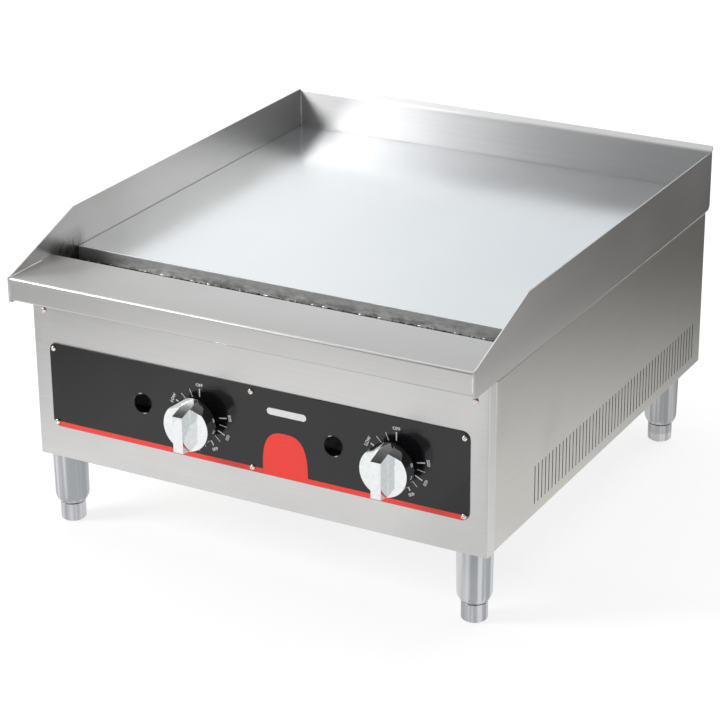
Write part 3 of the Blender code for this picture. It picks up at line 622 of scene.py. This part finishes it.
def guard_outline():
    """The guard seen from the side: sloped at the front, with its lower corners rounded or cut."""
    kink = PLATE_LOW.y - 5.0
    return [
        (LEDGE_LOW.y, GUARD_LOW.z + 3.6),
        (LEDGE_LOW.y + 1.2, GUARD_LOW.z + 1.2),
        (LEDGE_LOW.y + 3.6, GUARD_LOW.z),
        (GUARD_HIGH.y - 5.0, GUARD_LOW.z),
        (GUARD_HIGH.y, GUARD_LOW.z + 5.0),
        (GUARD_HIGH.y, GUARD_HIGH.z),
        (kink, GUARD_HIGH.z),
        (LEDGE_LOW.y, LEDGE_HIGH.z),
    ]


def build_guard(side):
    sign = SIDES[side]
    inner, outer = GUARD_LOW.x, GUARD_HIGH.x
    bm = bmesh.new()
    corners = guard_outline()
    outline = rounded_profile([*corners, corners[0]], 1.2, steps=3)[:-1]
    add_prism(bm, outline, "X", *sorted((sign * inner, sign * outer)))
    bmesh.ops.remove_doubles(bm, verts=bm.verts, dist=1e-4)
    front_edges = [
        edge for edge in bm.edges
        if all(abs(v.co.y - LEDGE_LOW.y) < 2.2 and abs(v.co.x) > inner + 1.0 for v in edge.verts)
        and edge.calc_length() > 0.5
    ]
    bmesh.ops.bevel(bm, geom=front_edges, offset=1.25, segments=5, affect="EDGES", profile=0.5)
    guard = to_object(f"{side}_guard_sheet", bm)
    soften(guard, 0.32, segments=2, angle=50.0)
    dress(guard, GUARD, [f"{side}_splash_guard"], sharp=35.0)


def build_back_splash():
    face = SPLASH_LOW.y
    path = [(SPLASH_HIGH.y - 0.69, SPLASH_HIGH.z), (face, GUARD_HIGH.z + 0.8), (face, SPLASH_LOW.z)]
    bm = bmesh.new()
    add_prism(bm, folded(path, SHEET, bend=4.5, steps=12), "X", SPLASH_LOW.x, SPLASH_HIGH.x)
    splash = to_object("rear_splash_sheet", bm)
    cutter = bmesh.new()
    for sign in SIDES.values():
        near, far = sorted((sign * PLATE_HIGH.x, sign * (SPLASH_HIGH.x + 5)))
        low, high = (near, face - 10, SPLASH_LOW.z - 10), (far, SPLASH_HIGH.y + 10, GUARD_HIGH.z + 0.3)
        add_box(cutter, low, high)
    combine(splash, cutter)
    plan = bmesh.new()
    low, high = (SPLASH_LOW.x, face - 30), (SPLASH_HIGH.x, SPLASH_HIGH.y)
    add_prism(plan, rounded_rectangle(low, high, 4.5, 8), "Z", SPLASH_LOW.z - 5, SPLASH_HIGH.z + 5)
    combine(splash, plan, "INTERSECT")
    soften(splash, 0.3, segments=2, angle=50.0)
    dress(splash, SPLASH, ["back_splash"], sharp=30.0)


# Casing

def pilot_hole(side):
    return KNOB_CENTRE[side].x + PILOT_HOLE_OFFSET[side], CONTROL_Z + PILOT_HOLE_RISE


def screw_centres():
    return [middle(f"panel_screw_{number}") for number in range(1, SCREW_COUNT + 1)]


def add_control_holes(cutter, through, screws):
    """Holes for the knob stems, the pilots and the screws."""
    for side in SIDES:
        add_prism(cutter, circle((KNOB_CENTRE[side].x, CONTROL_Z), STEM_HOLE_RADIUS, 32), "Y", *through)
        add_prism(cutter, circle(pilot_hole(side), PILOT_HOLE_RADIUS, 64), "Y", *through)
    for centre in screws:
        add_prism(cutter, circle((centre.x, centre.z), SCREW_HOLE_RADIUS, 16), "Y", *through)


def build_front_panel():
    half, back = PANEL_HIGH.x, PANEL_HIGH.y
    corners = [(-half, back), (-half, PANEL_Y), (half, PANEL_Y), (half, back)]
    bm = bmesh.new()
    add_prism(bm, folded(corners, BODY_SHEET), "Z", PANEL_LOW.z, PANEL_HIGH.z)
    panel = to_object("front_panel_sheet", bm)
    cutter = bmesh.new()
    add_control_holes(cutter, (PANEL_Y - 5, PANEL_Y + 5), screw_centres())
    combine(panel, cutter)
    soften(panel, 0.2, angle=50.0)
    dress(panel, PANEL, ["front_panel"], sharp=30.0)


def build_side_panel(side):
    """Folded side panel with a turned-in front edge and a row of round-ended louvre slots."""
    sign = SIDES[side]
    outer, low_z, high_z = SIDE_HIGH.x, SIDE_LOW.z, SIDE_HIGH.z
    front_turn = 6.0
    flange = outer - 18.0
    corners = [(flange, low_z), (outer, low_z), (outer, high_z), (flange, high_z)]
    outline = [(sign * x, z) for x, z in folded(corners, BODY_SHEET)]
    bm = bmesh.new()
    add_prism(bm, outline, "Y", SIDE_LOW.y + front_turn, SIDE_HIGH.y)
    turn_path = [(outer - 14.0, SIDE_LOW.y), (outer, SIDE_LOW.y), (outer, SIDE_LOW.y + front_turn)]
    lip = [(sign * x, y) for x, y in folded(turn_path, BODY_SHEET, bend=1.6)]
    add_prism(bm, lip, "Z", low_z + 1.5, high_z - 1.5)
    panel = to_object(f"{side}_side_sheet", bm)
    cutter = bmesh.new()
    slot_count, slot_pitch, first_slot = 51, 9.74, PANEL_Y + 123.0
    slot_low, slot_high, slot_half = 107.0, 156.0, 1.0
    across = sorted((sign * (outer - 5), sign * (outer + 5)))
    for i in range(slot_count):
        y = first_slot + slot_pitch * i
        ends = rounded_rectangle((y - slot_half, slot_low), (y + slot_half, slot_high), slot_half * 0.999, 4)
        add_prism(cutter, ends, "X", *across)
    combine(panel, cutter)
    dress(panel, SIDE, [f"{side}_side_panel"], sharp=30.0)


def build_rear_panel():
    low, high = box("rear_panel")
    bm = bmesh.new()
    add_prism(bm, rounded_rectangle((low.x, low.z), (high.x, high.z), 2.0, 4), "Y", low.y, high.y)
    panel = to_object("rear_panel_sheet", bm)
    cutter = bmesh.new()
    through = (low.y - 5, high.y + 5)
    pipe_radius, inlet_z = 13.35, 150.0
    inlet_x = box("gas_inlet_pipe")[1].x - pipe_radius
    add_prism(cutter, circle((inlet_x, inlet_z), pipe_radius + 3, 48), "Y", *through)
    flue_slots, flue_pitch, flue_half, flue_low, flue_high = 8, 62.0, 23.0, 272.0, 284.0
    for i in range(flue_slots):
        x = (i - (flue_slots - 1) / 2) * flue_pitch
        ends = rounded_rectangle((x - flue_half, flue_low), (x + flue_half, flue_high), 5.9, 8)
        add_prism(cutter, ends, "Y", *through)
    combine(panel, cutter)
    soften(panel, 0.2, angle=50.0)
    dress(panel, SPLASH, ["rear_panel"], sharp=30.0)


def build_overlay():
    low, high = (OVERLAY_LOW.x, OVERLAY_LOW.z), (OVERLAY_HIGH.x, OVERLAY_HIGH.z)
    bm = bmesh.new()
    add_prism(bm, rounded_rectangle(low, high, 10.0, 12), "Y", OVERLAY_FACE, OVERLAY_HIGH.y)
    overlay = to_object("control_overlay_plate", bm)
    cutter = bmesh.new()
    add_control_holes(cutter, (OVERLAY_FACE - 5, PANEL_Y + 5), screw_centres()[:OVERLAY_SCREWS])
    combine(overlay, cutter)
    soften(overlay, 0.28, segments=3, angle=50.0)
    dress(overlay, BLACK, ["control_overlay"], sharp=30.0)


def build_hole_rims():
    """Raised grommet rims round the two pilot sight holes."""
    for side in SIDES:
        x, z = pilot_hole(side)
        radius = PILOT_HOLE_RADIUS
        profile = [(radius - 0.9, 0.6), (radius - 0.9, -1.1), (radius - 0.1, -1.6), (radius + 0.6, -1.15),
                   (radius + 0.6, -1.02), (radius - 0.05, -1.02), (radius - 0.05, 0.6)]
        bm = turned_mesh(profile, "Y", (x, OVERLAY_FACE + 1.0, z), 64)
        rim = to_object(f"pilot_hole_rim_{side}", bm)
        dress(rim, BLACK, sharp=50.0)


# Printed marks

PRINT_DEPTH = 0.06
PRINT_FACE = OVERLAY_FACE - 0.02
TICK_IN, TICK_OUT = 26.4, 36.6
MAJOR_WIDTH, MINOR_WIDTH = 1.5, 0.8
LABEL_RADIUS = 40.8
LABEL_SIZE = 5.6
DIAL_LABELS = {0: "OFF", 64: "LOW", 100: "250", 136: "300", 172: "350", 208: "400", 244: "450", 280: "500"}
DIAL_MINOR = (22, 44, 82, 118, 154, 190, 226, 262)


def add_tick(bm, centre, degrees, width):
    turn = math.radians(degrees)
    out = Vector((-math.sin(turn), math.cos(turn)))
    side = Vector((out.y, -out.x)) * width / 2
    hub = Vector((centre.x, CONTROL_Z))
    near, far = hub + out * TICK_IN, hub + out * TICK_OUT
    outline = [tuple(near - side), tuple(near + side), tuple(far + side), tuple(far - side)]
    add_prism(bm, outline, "Y", PRINT_FACE - PRINT_DEPTH, PRINT_FACE)


def add_label(bm, text, centre, degrees):
    """Dial lettering, its top away from the middle of the dial."""
    curve = bpy.data.curves.new("label", "FONT")
    curve.body = text
    curve.size = LABEL_SIZE
    curve.align_x = "CENTER"
    curve.align_y = "CENTER"
    curve.extrude = PRINT_DEPTH / 2
    curve.offset = 0.10
    curve.resolution_u = 3
    obj = bpy.data.objects.new("label", curve)
    bpy.context.scene.collection.objects.link(obj)
    graph = bpy.context.evaluated_depsgraph_get()
    mesh = bpy.data.meshes.new_from_object(obj.evaluated_get(graph))
    bpy.data.objects.remove(obj)
    turn = math.radians(degrees)
    where = Vector((-math.sin(turn), 0.0, math.cos(turn))) * LABEL_RADIUS
    where += Vector((centre.x, PRINT_FACE - PRINT_DEPTH / 2, CONTROL_Z))
    upright = Matrix.Rotation(math.pi / 2, 4, "X")
    mesh.transform(Matrix.Translation(where) @ upright @ Matrix.Rotation(turn, 4, "Z"))
    bm.from_mesh(mesh)
    bpy.data.meshes.remove(mesh)


def build_dial(side):
    centre = KNOB_CENTRE[side]
    bm = bmesh.new()
    for degrees, text in DIAL_LABELS.items():
        add_tick(bm, centre, degrees, MAJOR_WIDTH)
        add_label(bm, text, centre, degrees)
    for degrees in DIAL_MINOR:
        add_tick(bm, centre, degrees, MINOR_WIDTH)
    dial = to_object(f"dial_print_{side}", bm)
    dress(dial, WHITE_INK)


def build_stripe():
    """The red band along the overlay's foot, with a plain rounded tab where a badge would be."""
    inset, top, radius = 0.5, 140.6, 9.5
    low_x, high_x, low_z = OVERLAY_LOW.x + inset, OVERLAY_HIGH.x - inset, OVERLAY_LOW.z + inset
    reach = math.acos(1 - (top - low_z) / radius)
    points = []
    for sign, centre_x in ((-1, low_x + radius), (1, high_x - radius)):
        turns = [reach * step / 8 for step in range(9)]
        arc = [(centre_x + sign * radius * math.sin(t), low_z + radius * (1 - math.cos(t))) for t in turns]
        points += arc[::-1] if sign < 0 else arc
    tab_middle, tab_half, tab_height, tab_steps, fullness = 44.0, 30.0, 50.0, 24, 0.7
    tab = []
    for step in range(tab_steps + 1):
        turn = math.pi * step / tab_steps
        across = math.copysign(abs(math.cos(turn)) ** fullness, math.cos(turn))
        tab.append((tab_middle + tab_half * across, top + tab_height * math.sin(turn) ** fullness))
    bm = bmesh.new()
    add_prism(bm, points + tab, "Y", PRINT_FACE - PRINT_DEPTH, PRINT_FACE)
    stripe = to_object("red_stripe_print", bm)
    cutter = bmesh.new()
    for centre in screw_centres()[:OVERLAY_SCREWS]:
        hole = circle((centre.x, centre.z), SCREW_HOLE_RADIUS + 0.3, 24)
        add_prism(cutter, hole, "Y", PRINT_FACE - 1, PRINT_FACE + 1)
    combine(stripe, cutter)
    dress(stripe, RED_INK)


def build_bar():
    """A plain white bar where a name would be."""
    bm = bmesh.new()
    outline = rounded_rectangle((21.0, 212.0), (73.0, 220.5), 4.2, 8)
    add_prism(bm, outline, "Y", PRINT_FACE - PRINT_DEPTH, PRINT_FACE)
    bar = to_object("plain_white_bar_print", bm)
    dress(bar, WHITE_INK)


# Knobs and screws

DRUM_RADIUS = 30.0
DRUM_BACK = -14.0  # along the knob's axis, from the panel
DRUM_FACE = -34.0
GRIP_HALF = 6.6
GRIP_ROOT = (-28.4, 29.8)  # the grip's lower and upper end inside the drum's face
GRIP_TIP = (-25.5, 20.0)
ROOF_RIDGE_HALF = 7.4
ROOF_HALF = 42.0
ROOF_FALL = 12.0  # from the ridge to the roof's sides
ROOF_TOP = 60.0
KNOB_BORE_RADIUS = 3.3


def knob_drum(centre):
    profile = [(0.0, DRUM_BACK), (DRUM_RADIUS - 2.5, DRUM_BACK, 0.4), (DRUM_RADIUS, DRUM_BACK - 1.6, 1.2),
               (DRUM_RADIUS, DRUM_FACE, 0.5), (0.0, DRUM_FACE)]
    return turned_mesh(rounded_profile(profile, 0.8, steps=6), "Y", (centre.x, PANEL_Y, CONTROL_Z), 128)


def knob_grip(centre, front):
    """The straight bar across the drum's face, with fine rounded edges at its tip."""
    bm = bmesh.new()
    rings = []
    for y, (bottom, top) in ((DRUM_FACE + 1.5, GRIP_ROOT), (front, GRIP_TIP)):
        corners = rectangle((-GRIP_HALF, bottom), (GRIP_HALF, top))
        rings.append([(centre.x + x, PANEL_Y + y, CONTROL_Z + z) for x, z in corners])
    add_loft(bm, rings)
    tip_edges = [edge for edge in bm.edges if any(v.co.y < PANEL_Y + front + 1.0 for v in edge.verts)]
    bmesh.ops.bevel(bm, geom=tip_edges, offset=0.5, segments=4, affect="EDGES", profile=0.5)
    return bm


def knob_roof(centre):
    """Everything above the shallow flats that run from the drum's back edge down to the grip's tip."""
    bm = bmesh.new()
    rings = []
    for y, ridge in ((DRUM_BACK + 1.0, DRUM_RADIUS + 0.3), (-60.0, 17.3)):
        eaves = ridge - ROOF_FALL
        outline = [(-ROOF_HALF, eaves), (-ROOF_RIDGE_HALF, ridge), (ROOF_RIDGE_HALF, ridge),
                   (ROOF_HALF, eaves), (ROOF_HALF, ROOF_TOP), (-ROOF_HALF, ROOF_TOP)]
        rings.append([(centre.x + x, PANEL_Y + y, CONTROL_Z + z) for x, z in outline])
    add_loft(bm, rings)
    return bm


def build_knob(side):
    """A chrome drum with a flat face, a straight grip bar across it and shallow flats over its top."""
    centre = KNOB_CENTRE[side]
    front = box(f"knob_{side}")[0].y - PANEL_Y
    knob = to_object(f"control_knob_{side}", knob_drum(centre))
    combine(knob, knob_grip(centre, front), "UNION")
    for edge_x in (centre.x - GRIP_HALF, centre.x + GRIP_HALF):
        crease = bmesh.new()
        spot = (edge_x, PANEL_Y + DRUM_FACE)
        add_prism(crease, circle(spot, 0.55, 16), "Z", CONTROL_Z - 28.6, CONTROL_Z + 25.2)
        combine(knob, crease, "UNION")
    combine(knob, knob_roof(centre))
    bore = bmesh.new()
    outline = circle((centre.x, CONTROL_Z), KNOB_BORE_RADIUS, 24)
    add_prism(bore, outline, "Y", PANEL_Y + DRUM_FACE - 1.0, PANEL_Y)
    combine(knob, bore)
    dress(knob, CHROME, [f"knob_{side}"], body=f"knob_{side}", sharp=24.0)


def cross_outline(x, z, arm, half):
    """A cross recess, seen from the front."""
    points = [(half, half), (half, arm), (-half, arm), (-half, half), (-arm, half), (-arm, -half),
              (-half, -half), (-half, -arm), (half, -arm), (half, -half), (arm, -half), (arm, half)]
    return [(x + across, z + up) for across, up in points]


def build_screw(number):
    """Pan head screw with a cross recess."""
    low, high = box(f"panel_screw_{number}")
    spot = (low + high) / 2
    head_radius, head_height, shank_radius = (high.x - low.x) / 2, 2.1, 1.7
    seat = low.y + head_height
    dome = [(0.0, -1.0), (0.34, -0.985), (0.62, -0.92), (0.82, -0.78), (0.94, -0.55), (0.99, -0.28)]
    profile = [(head_radius * across, seat + head_height * out) for across, out in dome]
    profile += [(head_radius, seat), (shank_radius, seat), (shank_radius, high.y), (0.0, high.y)]
    screw = to_object(f"pan_head_screw_{number}", turned_mesh(profile, "Y", (spot.x, 0.0, spot.z), 32))
    recess = bmesh.new()
    add_prism(recess, cross_outline(spot.x, spot.z, 1.5, 0.3), "Y", low.y - 1.0, low.y + 0.7)
    combine(screw, recess)
    dress(screw, NICKEL, [f"panel_screw_{number}"], sharp=35.0)


# Legs

def turned_piece(name, profile, radius, steps, spot, count):
    mesh = turned_mesh(rounded_profile(profile, radius, steps=steps), "Z", (spot.x, spot.y, 0.0), count)
    return to_object(name, mesh)


def build_leg(end, side):
    """A drawn leg tube with a rounded shoulder, and the levelling foot that slides in it."""
    low, high = box(f"leg_{end}_{side}")
    foot_low, foot_high = box(f"foot_{end}_{side}")
    spot = (low + high) / 2
    radius = (high.x - low.x) / 2
    pin_radius, pin_height = 5.0, 3.6
    top, shoulder = high.z - pin_height, low.z
    bore, bore_top = 8.0, 72.0
    leg = [
        (0.0, high.z), (pin_radius, high.z, 0.5), (pin_radius, top, 0.3), (radius, top, 0.5),
        (radius - 0.7, shoulder + 8.5, 4.0), (radius - 5.2, shoulder, 3.0), (bore, shoulder, 0.5),
        (bore, bore_top, 0.3), (0.0, bore_top),
    ]
    leg_piece = turned_piece(f"leg_tube_{end}_{side}", leg, 0.6, 6, spot, 72)
    dress(leg_piece, LEG, [f"leg_{end}_{side}"], sharp=35.0)
    foot_radius = (foot_high.x - foot_low.x) / 2
    foot_top, shank = 24.0, 7.6
    foot = [
        (0.0, foot_high.z), (shank, foot_high.z, 1.0), (shank, foot_top, 0.2), (foot_radius, foot_top, 0.7),
        (foot_radius, 1.9, 1.2), (foot_radius - 2.4, 0.0, 0.6), (0.0, 0.0),
    ]
    foot_piece = turned_piece(f"levelling_foot_{end}_{side}", foot, 0.5, 5, spot, 64)
    dress(foot_piece, LEG, [f"foot_{end}_{side}"], body=f"foot_{end}_{side}", sharp=35.0)


# Kept CAD nodes

KEPT_FINISHES = [
    (ALUMINISED, ("plate_support_", "base_rail_", "bottom_shield", "tray_rail_", "burner_left",
                  "burner_right", "burner_carrier", "air_shutter_", "pilot_burner_")),
    (BRASS, ("burner_orifice_", "pilot_valve_")),
    (COPPER, ("sensing_bulb_", "pilot_tube_")),
    (CAST, ("thermostat_valve_", "valve_stem_")),
    (NICKEL, ("pilot_screw_",)),
    (IRON, ("gas_manifold", "gas_inlet_pipe")),
    (SIDE, ("grease_chute", "grease_tray")),
]


def finish_kept_nodes():
    for material, prefixes in KEPT_FINISHES:
        for name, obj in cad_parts.items():
            if name.startswith(prefixes):
                for slot in obj.material_slots:
                    slot.material = material


# Setting

def emission(name, colour, strength):
    material = bpy.data.materials.new(name)
    material.use_nodes = True
    tree = material.node_tree
    tree.nodes.clear()
    glow = add_node(tree, "ShaderNodeEmission", {"Color": (*colour, 1.0), "Strength": strength})
    out = add_node(tree, "ShaderNodeOutputMaterial")
    tree.links.new(glow.outputs["Emission"], out.inputs["Surface"])
    return material


def aim(obj, centre, target, forward):
    obj.location = centre
    obj.rotation_mode = "QUATERNION"
    obj.rotation_quaternion = (Vector(target) - Vector(centre)).to_track_quat(forward, "Y")
    obj.visible_camera = False


def card(name, centre, facing, width, height, material, glossy_only=False):
    """A flat studio card that the camera doesn't see. Sizes and places here are in metres."""
    mesh = bpy.data.meshes.new(name)
    w, h = width / 2, height / 2
    mesh.from_pydata([(-w, -h, 0), (w, -h, 0), (w, h, 0), (-w, h, 0)], [], [(0, 1, 2, 3)])
    mesh.materials.append(material)
    obj = bpy.data.objects.new(name, mesh)
    bpy.context.scene.collection.objects.link(obj)
    aim(obj, centre, facing, "Z")
    obj.visible_shadow = False
    if glossy_only:
        obj.visible_diffuse = False


def area_light(name, centre, target, width, height, radiance):
    """A rectangular softbox. Sizes and places are in metres."""
    light = bpy.data.lights.new(name, "AREA")
    light.shape = "RECTANGLE"
    light.size = width
    light.size_y = height
    light.energy = radiance * math.pi * width * height
    obj = bpy.data.objects.new(name, light)
    bpy.context.scene.collection.objects.link(obj)
    aim(obj, centre, target, "-Z")


def build_floor():
    bm = bmesh.new()
    bmesh.ops.create_grid(bm, x_segments=8, y_segments=8, size=9000.0)
    floor = to_object("studio_floor", bm)
    material, tree, shader = new_material("pale_floor", Roughness=0.9, Specular_IOR_Level=0.1)
    grain = noise(tree, (30.0, 30.0, 30.0), detail=3.0)
    tree.links.new(mixed(tree, grain, (0.34, 0.34, 0.34), (0.36, 0.36, 0.36)), shader.inputs["Base Color"])
    shader.inputs["Emission Color"].default_value = (1.0, 1.0, 1.0, 1.0)
    shader.inputs["Emission Strength"].default_value = 0.76
    floor.data.materials.append(material)


def graded(name, near, far, axis, from_mm, to_mm):
    """A glow that changes evenly between two places along one of the card's own axes."""
    material = emission(name, (1.0, 1.0, 1.0), 1.0)
    tree = material.node_tree
    glow = next(node for node in tree.nodes if node.type == "EMISSION")
    share = remap(tree, coordinate(tree, axis), from_mm * MM, to_mm * MM, smooth=True)
    tree.links.new(mixed(tree, share, near, far), glow.inputs["Color"])
    return material


def floor_card(name, x, y, height, width, length, material):
    """A card just over the floor that only reflections see."""
    card(name, (x, y, height), (x, y, 1.0), width, length, material, glossy_only=True)


def build_light():
    world = bpy.data.worlds.new("studio")
    bpy.context.scene.world = world
    world.use_nodes = True
    world.node_tree.nodes["Background"].inputs["Color"].default_value = (1.0, 1.0, 1.0, 1.0)
    world.node_tree.nodes["Background"].inputs["Strength"].default_value = 0.22
    area_light("key_softbox", centre=(-2.80, -2.2, 2.35), target=(-2.80, 0.0, 1.9),
               width=2.1, height=2.0, radiance=11.0)
    area_light("top_softbox", centre=(-0.4, 1.0, 3.6), target=(-0.4, 1.0, 0.0),
               width=5.2, height=3.6, radiance=1.3)
    backdrop = graded("backdrop", (1.12, 1.14, 1.15), (0.84, 0.87, 0.89), "X", from_mm=-300.0, to_mm=900.0)
    card("bright_backdrop", (-1.9, 3.1, 1.3), (-1.9, 0.0, 1.3), 4.6, 2.5, backdrop)
    rear = graded("rear_softbox", (0.0, 0.0, 0.0), (1.6, 1.6, 1.58), "X", from_mm=-635.0, to_mm=-465.0)
    card("rear_right_softbox", (1.385, 3.0, 1.6), (1.385, 0.0, 1.6), 1.27, 1.8, rear)
    rear_shade = graded("rear_floor_shade", (0.12, 0.117, 0.113), (0.86, 0.855, 0.84), "Y",
                        from_mm=60.0, to_mm=1120.0)
    floor_card("rear_right_shade", 1.4, 1.1, 0.012, 3.6, 2.4, rear_shade)
    front_left = graded("front_left_shade", (1.0, 1.0, 1.0), (0.42, 0.42, 0.41), "X",
                        from_mm=-700.0, to_mm=-300.0)
    floor_card("front_left_shade", -1.1, -1.0, 0.010, 1.4, 1.1, front_left)
    front_right = emission("front_right_shade", (0.84, 0.85, 0.86), 1.0)
    floor_card("front_right_shade", 0.72, -0.95, 0.010, 1.2, 1.1, front_right)


def build_camera():
    camera = bpy.data.cameras.new("camera")
    camera.lens = 124.3
    camera.sensor_width = 36.0
    camera.shift_x = -0.024
    camera.shift_y = -0.0114
    camera.clip_end = 60.0
    obj = bpy.data.objects.new("camera", camera)
    bpy.context.scene.collection.objects.link(obj)
    yaw, pitch, roll = (math.radians(a) for a in (28.437, 22.865, -0.29))
    look = Vector((-math.sin(yaw) * math.cos(pitch), math.cos(yaw) * math.cos(pitch), -math.sin(pitch)))
    level = Vector((math.cos(yaw), math.sin(yaw), 0.0))
    upward = level.cross(look)
    right = level * math.cos(roll) + upward * math.sin(roll)
    up = upward * math.cos(roll) - level * math.sin(roll)
    turn = Matrix((right, up, -look)).transposed().to_4x4()
    obj.matrix_world = Matrix.Translation((1.3735, -2.53345, 1.3871)) @ turn
    bpy.context.scene.camera = obj
    bpy.context.scene.view_settings.view_transform = "Standard"


def build():
    build_plate()
    build_ledge()
    build_gutter_welds()
    build_ledge_welds()
    for side in SIDES:
        build_guard(side)
        build_side_panel(side)
        build_knob(side)
        build_dial(side)
        for end in ("front", "rear"):
            build_leg(end, side)
    build_back_splash()
    build_front_panel()
    build_rear_panel()
    build_overlay()
    build_hole_rims()
    build_stripe()
    build_bar()
    for number in range(1, SCREW_COUNT + 1):
        build_screw(number)
    finish_kept_nodes()
    build_floor()
    build_light()
    build_camera()


build()
